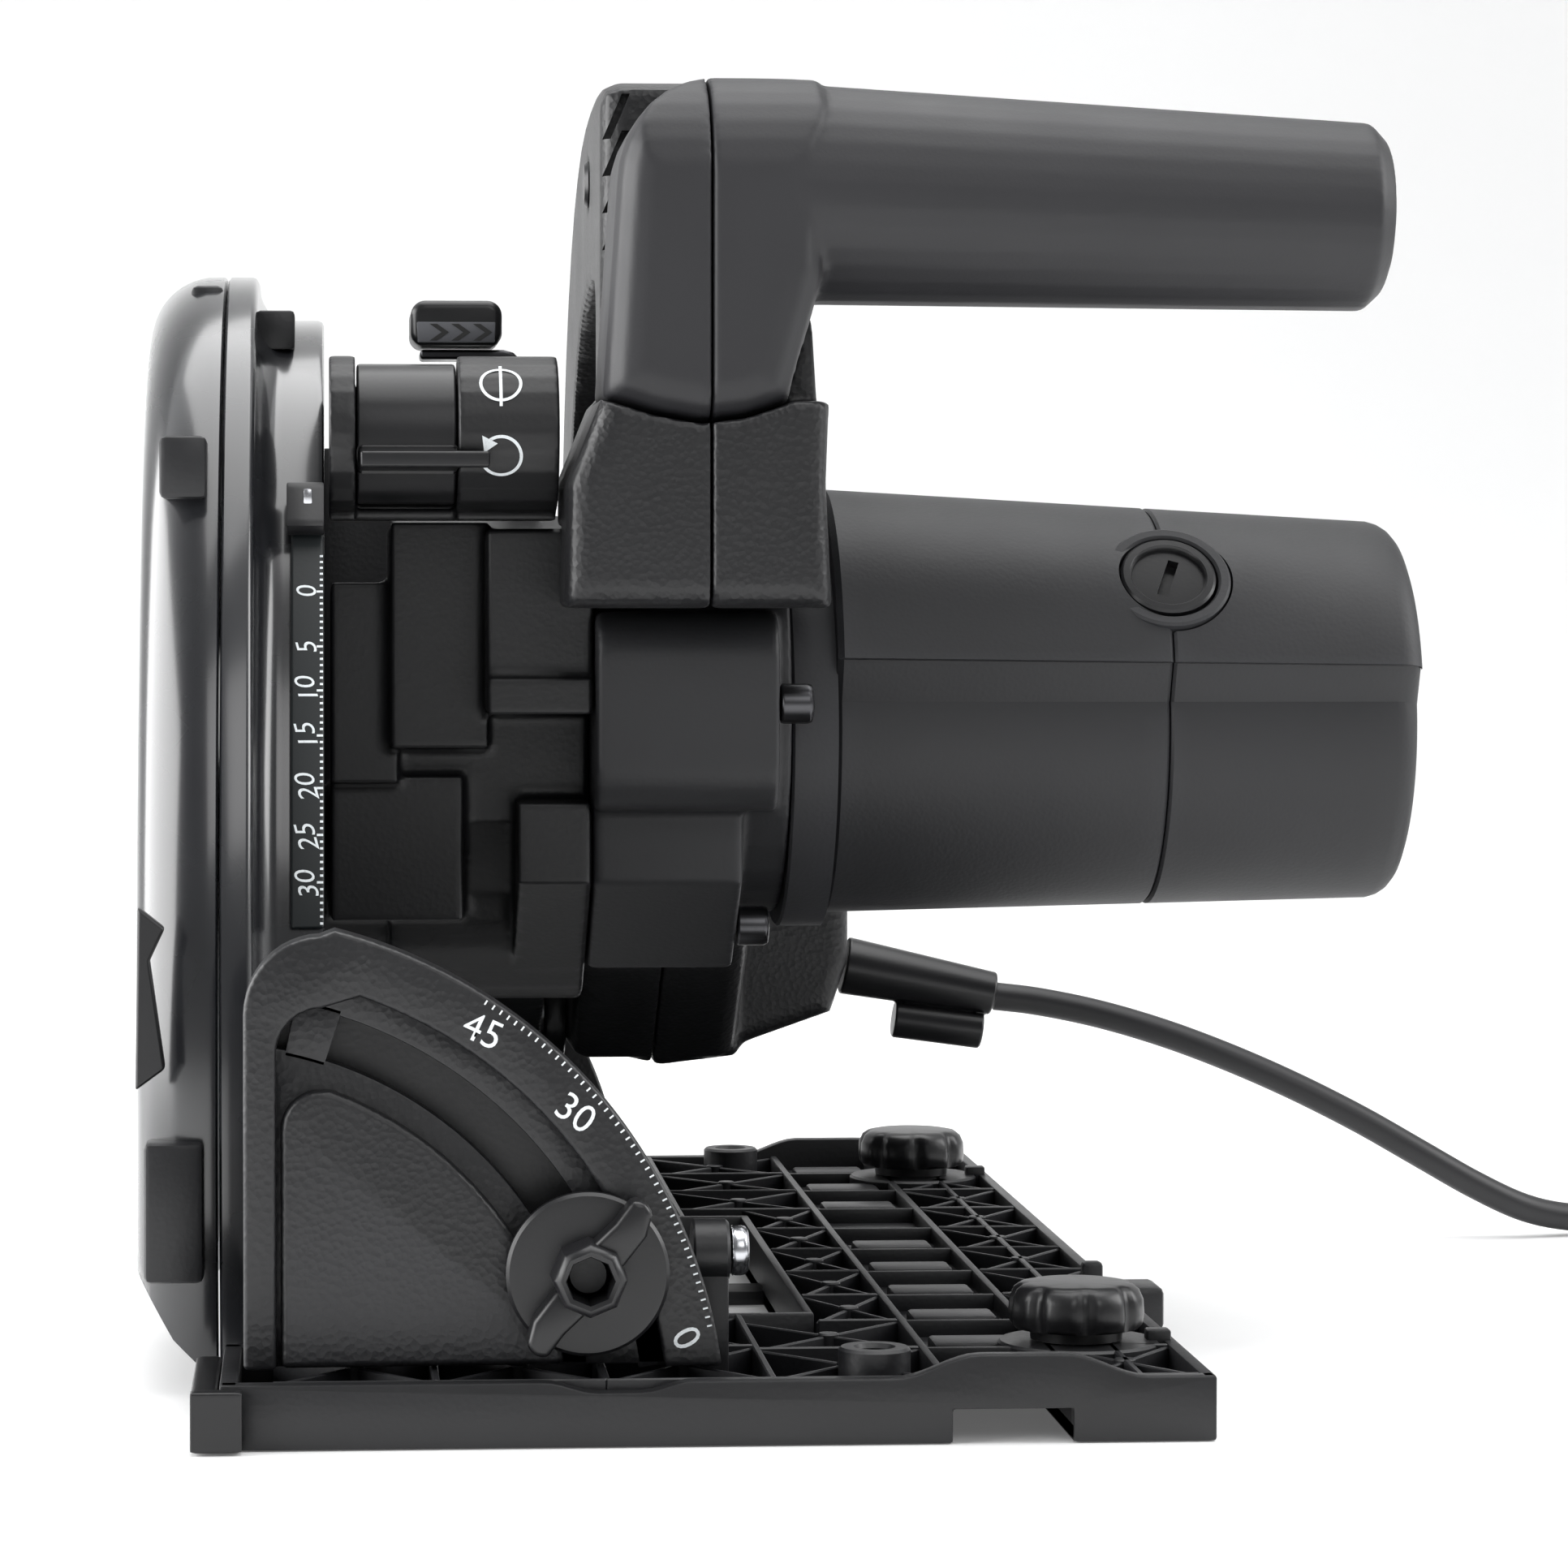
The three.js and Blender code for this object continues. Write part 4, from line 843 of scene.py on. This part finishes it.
# ------------------------------ moulded plastics
for name, voxel, rounds, look in (
    ("grip_left", 0.8, 4, "grip"), ("grip_right", 0.8, 4, "grip"),
    ("handle_left", 0.9, 3, "textured"), ("handle_right", 0.9, 3, "textured"),
    ("gear_housing", 1.0, 3, "casting"), ("gear_cover", 0.9, 4, "housing"),
    ("trigger", 0.6, 4, "knob"), ("dust_port", 0.8, 2, "housing"),
    ("front_trunnion", 1.0, 2, "casting"), ("rear_trunnion", 1.0, 2, "casting"),
    ("selector_barrel", 0.6, 2, "casting"), ("splinter_guard", 0.6, 2, "knob"),
):
    soften(name, voxel, rounds, look)


def trim_stud(name, side):
    """Ends the bevel stud deep inside its knob."""
    beyond = plain("box", -60, 20, *sorted((side * 159.5, side * 190)), 10, 50, 0)
    cut_away(bpy.data.objects[f"{name}_moulded"], beyond)


# ------------------------------ bevel knobs
BOLT_RADIUS, BOLT_ANGLE = 74, math.radians(23)
BOLT = (TILT[0] + BOLT_RADIUS * math.cos(BOLT_ANGLE), BOLT_RADIUS * math.sin(BOLT_ANGLE))


def make_wing_knob(name, side):
    """Disc, open hub and two bent wings."""
    build = Builder()

    def out(height):
        return side * (FACE_Y + 0.3 + height)

    disc = [(4.3, 0), (14, 0), (14.6, 0.5), (14.6, 2.3), (14, 2.9), (12.8, 3), (4.3, 3)]
    hub = [(4.3, 1), (6.9, 1), (6.6, 10.6), (6, 11.6), (5.2, 12), (4.4, 11.8), (4.2, 11.2)]
    build.turned("y", [(r, out(h)) for r, h in disc], BOLT, 96)
    build.turned("y", [(r, out(h)) for r, h in hub], BOLT, 8)
    wing = [(4.6, -3.3), (12.0, -3.2), (16.1, -1.4), (16.7, 0.8), (15.7, 2.9), (10.5, 2.7), (4.6, 3.5)]
    for turn in (51, 231):
        c, n = math.cos(math.radians(turn)), math.sin(math.radians(turn))
        outline = [(BOLT[0] + a * c - b * n, BOLT[1] + a * n + b * c) for a, b in wing]
        build.prism("y", outline, *sorted((out(2.2), out(9.4))), 1.1, 3, 30)
    build.add(f"{name}_winged", "knob", BODY_OF[name], "knob", (name,))


make_wing_knob("front_bevel_knob", -1)
make_wing_knob("rear_bevel_knob", 1)


# ------------------------------ release pad and return spring
def make_release_pad():
    """A rounded pad with a grey face and three raised chevrons."""
    body = BODY_OF["release_pad"]
    build = Builder()
    outline = [*arc(-49, 206.3, 3, 90, 180, 8), *arc(-49.4, 202.7, 2.6, 180, 270, 8),
               *arc(-36.1, 202.7, 2.6, 270, 360, 8), *arc(-36.5, 206.3, 3, 0, 90, 8)]
    build.prism("y", outline, -32, -8, 1.6, 4, 50)
    build.add("release_pad_body", "knob", body, "knob", ("release_pad",), 60)
    face = Builder()
    plate = [(-50.6, 200.7), (-35, 200.7), (-34.8, 204.9), (-50.8, 204.9)]
    face.prism("y", plate, -32.25, -31.2, 0.25, 2, 50)
    face.add("release_pad_face", "gray", body, "knob")
    chevron = [(0, 201.1), (1.5, 201.1), (3.9, 202.8), (1.5, 204.5), (0, 204.5), (2.4, 202.8)]
    marks = Builder()
    for i in range(3):
        marks.prism("y", [(-48.2 + 4.4 * i + x, z) for x, z in chevron], -32.33, -32.0, 0)
    marks.add("release_pad_chevrons", "carbon", body, "carbon")


def make_return_spring():
    """A helix round the plunge axis."""
    build = Builder()
    line = []
    turns, steps, radius = 4.6, 150, 12.8
    for i in range(steps + 1):
        t = 2 * math.pi * turns * i / steps
        x = -54.5 + 11.2 * i / steps
        line.append((x, PIVOT[0] + radius * math.cos(t), PIVOT[1] + radius * math.sin(t)))
    build.tube_along(line, 1.3, 12)
    build.add("return_spring_wire", "steel", BODY_OF["return_spring"], "steel", ("return_spring",), None)


make_release_pad()
make_return_spring()


# ------------------------------ motor
MOTOR = (-10, 127)
DROP = 5  # how far the lower half's centre and the collar's lie under the upper half's


def motor_taper(x):
    """Scale of the section across, above and below its centre, falling towards the end cap."""
    t = max(0, (x - 34) / 115)
    return 1 - 0.1 * t, 1 - 0.148 * t, 1 - 0.06 * t


def motor_ring(x, inset):
    """The housing's section: an upper half that stands proud of the lower one over a sloping ledge."""
    wide, high, low = motor_taper(x)
    upper = arc(*MOTOR, 44.5 - inset, 13.0, 167.0, 56)
    lower = arc(MOTOR[0], MOTOR[1] - DROP, 38.6 - inset, 171.0, 369.0, 64)
    undercut, level = 42.1 - inset, MOTOR[1] + 9.6
    outline = [*upper, (MOTOR[0] - undercut, level), *lower, (MOTOR[0] + undercut, level)]
    ring = []
    for y, z in outline:
        tall = high if z > MOTOR[1] else low
        ring.append((x, MOTOR[0] + (y - MOTOR[0]) * wide, MOTOR[1] + (z - MOTOR[1]) * tall))
    return ring


def make_motor_shell(name, stations, holes, node):
    """A length of the housing through (x, inset) stations, with its creases rounded and holes cut."""
    part = loft([motor_ring(x, inset) for x, inset in stations])
    build = Builder()
    crease = [e for e in part.edges if e.is_manifold and e.calc_face_angle(0) > math.radians(22)]
    bmesh.ops.recalc_face_normals(part, faces=part.faces)
    bmesh.ops.bevel(part, geom=crease, offset=0.45, offset_type="OFFSET", segments=3, profile=0.5,
                    affect="EDGES", clamp_overlap=True)
    build.take(part)
    cut_away(build.add(name, "housing", "plunge_head", "housing", (node,), 40), *holes, angle=24)


BRUSH = {"x": 101.4, "angle": 140, "lug": 12.8}


def to_brush_axis(side):
    """Turns shapes made along +Z at the origin onto a brush holder's axis."""
    t = math.radians(BRUSH["angle"])
    out = Vector((0, side * math.cos(t), side * math.sin(t)))
    turn = out.to_track_quat("Z", "Y").to_matrix().to_4x4()
    return Matrix.Translation(Vector((BRUSH["x"], *MOTOR))) @ turn


def brush_holes(radius, low):
    """Round holes on both brush axes, from a height on the axis outwards."""
    holes = []
    for side in (1, -1):
        hole = plain("turned", "z", [(0, low), (radius, low), (radius, 60), (0, 60)], (0, 0), 64)
        hole.move(to_brush_axis(side))
        holes.append(hole)
    return holes


def make_motor():
    """Barrel, end shell, collar at the gear case, and the two brush holders with their slotted screws."""
    housing = [(33, 3), (33, 1.2), (34.2, 0), *[(x, 0) for x in range(40, 100, 6)],
               (100.4, 0), (101, 0.6), (101, 8)]
    make_motor_shell("motor_barrel", housing, brush_holes(10.2, 37.9), "motor_housing")
    cap = [(101.3, 8), (101.3, 0.6), (101.9, 0), *[(x, 0) for x in range(106, 148, 6)], (148, 0),
           (149.8, 0.5), (151.2, 1.4), (152.3, 2.8), (152.9, 4.6), (153, 6)]
    make_motor_shell("motor_end_shell", cap, brush_holes(BRUSH["lug"] + 0.45, 15), "motor_end_cap")
    outline = [(20, 24), (40.9, 24), (41.4, 24.5), (41.4, 33.2), (20, 33.2)]
    collar = plain("turned", "x", outline, (MOTOR[0], MOTOR[1] - DROP), 96)
    collar.add("motor_collar", "housing", "plunge_head", "housing", (), 40)
    wide, well = BRUSH["lug"], 10.3
    tube = [(well, 30), (wide, 30), (wide, 40.6), (wide - 0.5, 41.1), (well + 0.5, 41.1), (well, 40.6)]
    screw = [(0, 38), (9.7, 38), (9.7, 41), (9.2, 41.5), (7.9, 41.5), (7.5, 41.1), (7.4, 40.3), (0, 40.3)]
    for name, side in (("front", 1), ("rear", -1)):
        axis = to_brush_axis(side)
        lug = plain("turned", "z", tube, (0, 0), 72)
        lug.move(axis)
        lug.add(f"{name}_brush_lug", "housing", "plunge_head", "housing", (), 40)
        cap = plain("turned", "z", screw, (0, 0), 64)
        cap.move(axis)
        piece = cap.add(f"{name}_brush_screw", "knob", "plunge_head", "knob", (f"{name}_brush_cap",), 40)
        slot = plain("box", -4.8, 4.8, -1.1, 1.1, 38.4, 43, 0)
        slot.move(axis @ Matrix.Rotation(math.radians(70), 4, "Z"))
        cut_away(piece, slot)


make_motor()
trim_stud("front_trunnion", -1)
trim_stud("rear_trunnion", 1)


# ------------------------------ blade guard
GUARD = {"front": 205, "crown": 95, "middle": (6.2, 112), "rim": 9, "outer": -105, "seam": -89.5,
         "inner": -69.6, "wall": 2.5}


def guard_ring(x, offset, bottom):
    """The guard's side profile: an arc about the plunge axis, the crown's arc and a straight back."""
    front, crown = GUARD["front"] + offset, GUARD["crown"] + offset
    y, z = GUARD["middle"]
    lean = math.degrees(math.atan2(z - PIVOT[1], y - PIVOT[0]))
    low = 180 - math.degrees(math.asin((bottom - PIVOT[1]) / front))
    points = [(y + crown, bottom), *arc(y, z, crown, 0, lean, 70), *arc(*PIVOT, front, lean, low, 50)[1:]]
    return [(x, a, b) for a, b in points]


def guard_solid(stations):
    """A closed solid lofted through (x, offset, bottom) stations."""
    return plain("take", loft([guard_ring(*station) for station in stations]))


def dust_hole():
    return plain("turned", "y", [(0, 90), (12.5, 90), (12.5, 160), (0, 160)], (-84, 124), 48)


def make_guard_cover():
    """Smooth shell with a large rounding towards the outside."""
    wall, rim, outer, seam = GUARD["wall"], GUARD["rim"], GUARD["outer"], GUARD["seam"]
    floor, turn, under = 3, 13, -45
    outside = [(seam, rim - 0.8, floor + 0.4), (seam - 0.4, rim - 0.15, floor + 0.1), (seam - 1, rim, floor)]
    steps = 14
    for i in range(1, steps + 1):
        t = math.pi / 2 * i / steps
        inset = turn * (1 - math.cos(t))
        outside.append((outer + turn * (1 - math.sin(t)), rim - inset, floor + inset))
    shell = guard_solid(outside)
    piece = shell.add("guard_cover_shell", "cover", "tilt_frame", "cover", ("guard_cover",), 40)
    inside = [(seam + 4, rim - wall, under), (seam - 1, rim - wall, under)]
    for i in range(1, steps + 1):
        t = math.pi / 2 * i / steps
        inset = (turn - wall) * (1 - math.cos(t))
        inside.append((outer + wall + (turn - wall) * (1 - math.sin(t)), rim - wall - inset, under))
    slope = [(-106, -50), (-106, 24), (-98, 10), (-90, 2), (-80, 2), (-80, -50)]
    cut_away(piece, guard_solid(inside), plain("prism", "y", slope, -230, 230, 0), dust_hole())
    lugs = Builder()
    for tab in (
        (-101, -92, -86, -74, 168, 180), (-103, -92, -118.5, -108, 22, 48),
        (-96.5, -90, -25, -10, 200, 212.5),
    ):
        lugs.box(*tab, 1.2)
    lugs.add("guard_cover_lugs", "casting", "tilt_frame", "cover", (), 40)


def make_guard_housing():
    """Rim flange, a hollow blend down to the body, and the flat inner wall."""
    rim, inner, wall = GUARD["rim"], GUARD["inner"], GUARD["wall"]
    near = GUARD["seam"] + 0.3
    stations = [(near, rim - 0.6, 3.2), (near + 0.5, rim, 3), (-84.4, rim, 3), (-83.6, rim - 0.3, 3.2),
                (-83.2, rim - 1, 3.6)]
    for i in range(9):
        t = math.pi / 2 * i / 8
        stations.append((-83 + 5.5 * (1 - math.cos(t)), (rim - 1.4) * (1 - math.sin(t)), 4 + 9 * math.sin(t)))
    stations += [(inner - 1.2, 0, 13), (inner - 0.35, -0.35, 13.3), (inner, -1.1, 13.8)]
    shell = guard_solid(stations)
    piece = shell.add("guard_housing_shell", "cover", "tilt_frame", "cover", ("guard_housing",), 40)
    hollow = guard_solid([(near - 2, -wall, -5), (inner - wall, -wall, -5)])
    slot = plain("box", -80, -60, -39.2, 16.8, -5, 89, 0)
    round_slot = plain("turned", "x", [(0, -80), (25, -80), (25, -60), (0, -60)], (-8.2, 89), 64)
    pin = plain("turned", "x", [(0, -90), (6.15, -90), (6.15, -60), (0, -60)], PIVOT, 48)
    cut_away(piece, hollow, slot, round_slot, pin, dust_hole())
    walls = Builder()
    walls.box(inner - 0.4, -45, 60, 64, 58, 182, 0.6)
    walls.box(-83.2, -75.5, -34, -20, 199, 207, 0.8)
    walls.add("guard_housing_walls", "casting", "tilt_frame", "cover", (), 40)


make_guard_cover()
make_guard_housing()


# ------------------------------ handle details and depth stop
def make_handle_details():
    """Four slanted vents in the handle's left shell, and the lock-off button's short cap."""
    vents = Builder()
    for i in range(4):
        z = 219 + 7.4 * i
        vents.prism("y", [(-13.6, z), (-12.0, z), (-8.2, z + 9), (-9.8, z + 9)], -50, -38.5, 0)
    cut_away(bpy.data.objects["handle_left_moulded"], vents)
    profile = [(0, -14.9), (4.2, -14.9), (4.9, -14.2), (4.9, -5), (0, -5)]
    button = plain("turned", "x", profile, (6, 236), 40)
    button.add("lock_off_cap", "knob", BODY_OF["lock_off_button"], "knob", ("lock_off_button",), 40)


def make_depth_stop():
    """A dark clip round the scale with a small bright screw."""
    build = Builder()
    inner, outer = 206.7, 210.4
    outline = [*arc(*PIVOT, outer, 146.2, 149.0, 6), *arc(*PIVOT, inner, 149.0, 146.2, 6)]
    build.prism("x", outline, -76.8, -69.5, 0.4, 2, 50)
    build.add("depth_stop_clip", "knob", BODY_OF["depth_stop"], "knob", ("depth_stop",), 40)
    screw = Builder()
    t = math.radians(147.2)
    place = (PIVOT[0] + outer * math.cos(t), PIVOT[1] + outer * math.sin(t))
    screw.box(-73.6, -71.8, place[0] - 0.9, place[0] + 0.4, place[1] - 1.4, place[1] + 1.6, 0.4)
    screw.add("depth_stop_screw", "zinc", BODY_OF["depth_stop"], "knob", (), 40)


make_handle_details()
make_depth_stop()


# ------------------------------ floor and light
def make_stage():
    """A pale floor that curves up behind the saw."""
    mesh = bpy.data.meshes.new("floor")
    bends = [math.pi / 2 * i / 16 for i in range(1, 17)]
    profile = [(-3, 0), (1.2, 0), *((1.2 + math.sin(a), 1 - math.cos(a)) for a in bends), (2.2, 3.5)]
    vertices = [(x, y, z - 0.0002) for y, z in profile for x in (-4, 4)]
    faces = [(2 * i, 2 * i + 1, 2 * i + 3, 2 * i + 2) for i in range(len(profile) - 1)]
    mesh.from_pydata(vertices, [], faces)
    for face in mesh.polygons:
        face.use_smooth = True
    floor = bpy.data.objects.new("floor", mesh)
    link(floor)
    s = Shader("floor", (0.86, 0.86, 0.86), 0.6)
    s.link(s.ramp(s.noise(3, 2), (0.3, (0.85, 0.85, 0.85)), (0.7, (0.87, 0.87, 0.87))),
           s.surface.inputs["Base Color"])
    s.surface.inputs["Specular IOR Level"].default_value = 0.2
    s.surface.inputs["Emission Color"].default_value = (1, 1, 1, 1)
    s.surface.inputs["Emission Strength"].default_value = 0.1
    mesh.materials.append(s.material)


def area_light(name, place, aim, size, power):
    data = bpy.data.lights.new(name, "AREA")
    data.shape = "RECTANGLE"
    data.size, data.size_y = size
    data.energy = power
    light = bpy.data.objects.new(name, data)
    light.location = place
    light.rotation_euler = (Vector(aim) - Vector(place)).to_track_quat("-Z", "Y").to_euler()
    link(light)


def make_world():
    """A white studio: bright above, behind and to the left, dimmer where the camera stands."""
    world = bpy.data.worlds.new("studio")
    world.use_nodes = True
    tree = world.node_tree
    background = tree.nodes["Background"]
    where = tree.nodes.new("ShaderNodeTexCoord")
    axes = tree.nodes.new("ShaderNodeSeparateXYZ")
    tree.links.new(where.outputs["Generated"], axes.inputs[0])
    depth = tree.nodes.new("ShaderNodeMapRange")
    depth.interpolation_type = "SMOOTHSTEP"
    for key, number in (("From Min", -0.7), ("From Max", 0.6), ("To Min", 0.22), ("To Max", 1.35)):
        depth.inputs[key].default_value = number
    tree.links.new(axes.outputs["Y"], depth.inputs["Value"])
    tree.links.new(depth.outputs["Result"], background.inputs["Strength"])
    background.inputs["Color"].default_value = (0.98, 0.99, 1, 1)
    bpy.context.scene.world = world


make_stage()
make_world()
bpy.context.scene.view_settings.view_transform = "Standard"
area_light("overhead", (0.1, 0.05, 1.5), (0.0, 0.0, 0.1), (1.8, 1.3), 20)
area_light("left", (-1.25, -0.12, 0.35), (-0.1, 0.0, 0.13), (1.7, 1.1), 36)
area_light("right", (1.5, -0.2, 0.9), (0.05, 0.0, 0.12), (0.9, 1.0), 15)
area_light("front", (0.5, -1.7, 1.2), (0.05, 0.0, 0.12), (1.0, 0.8), 6)
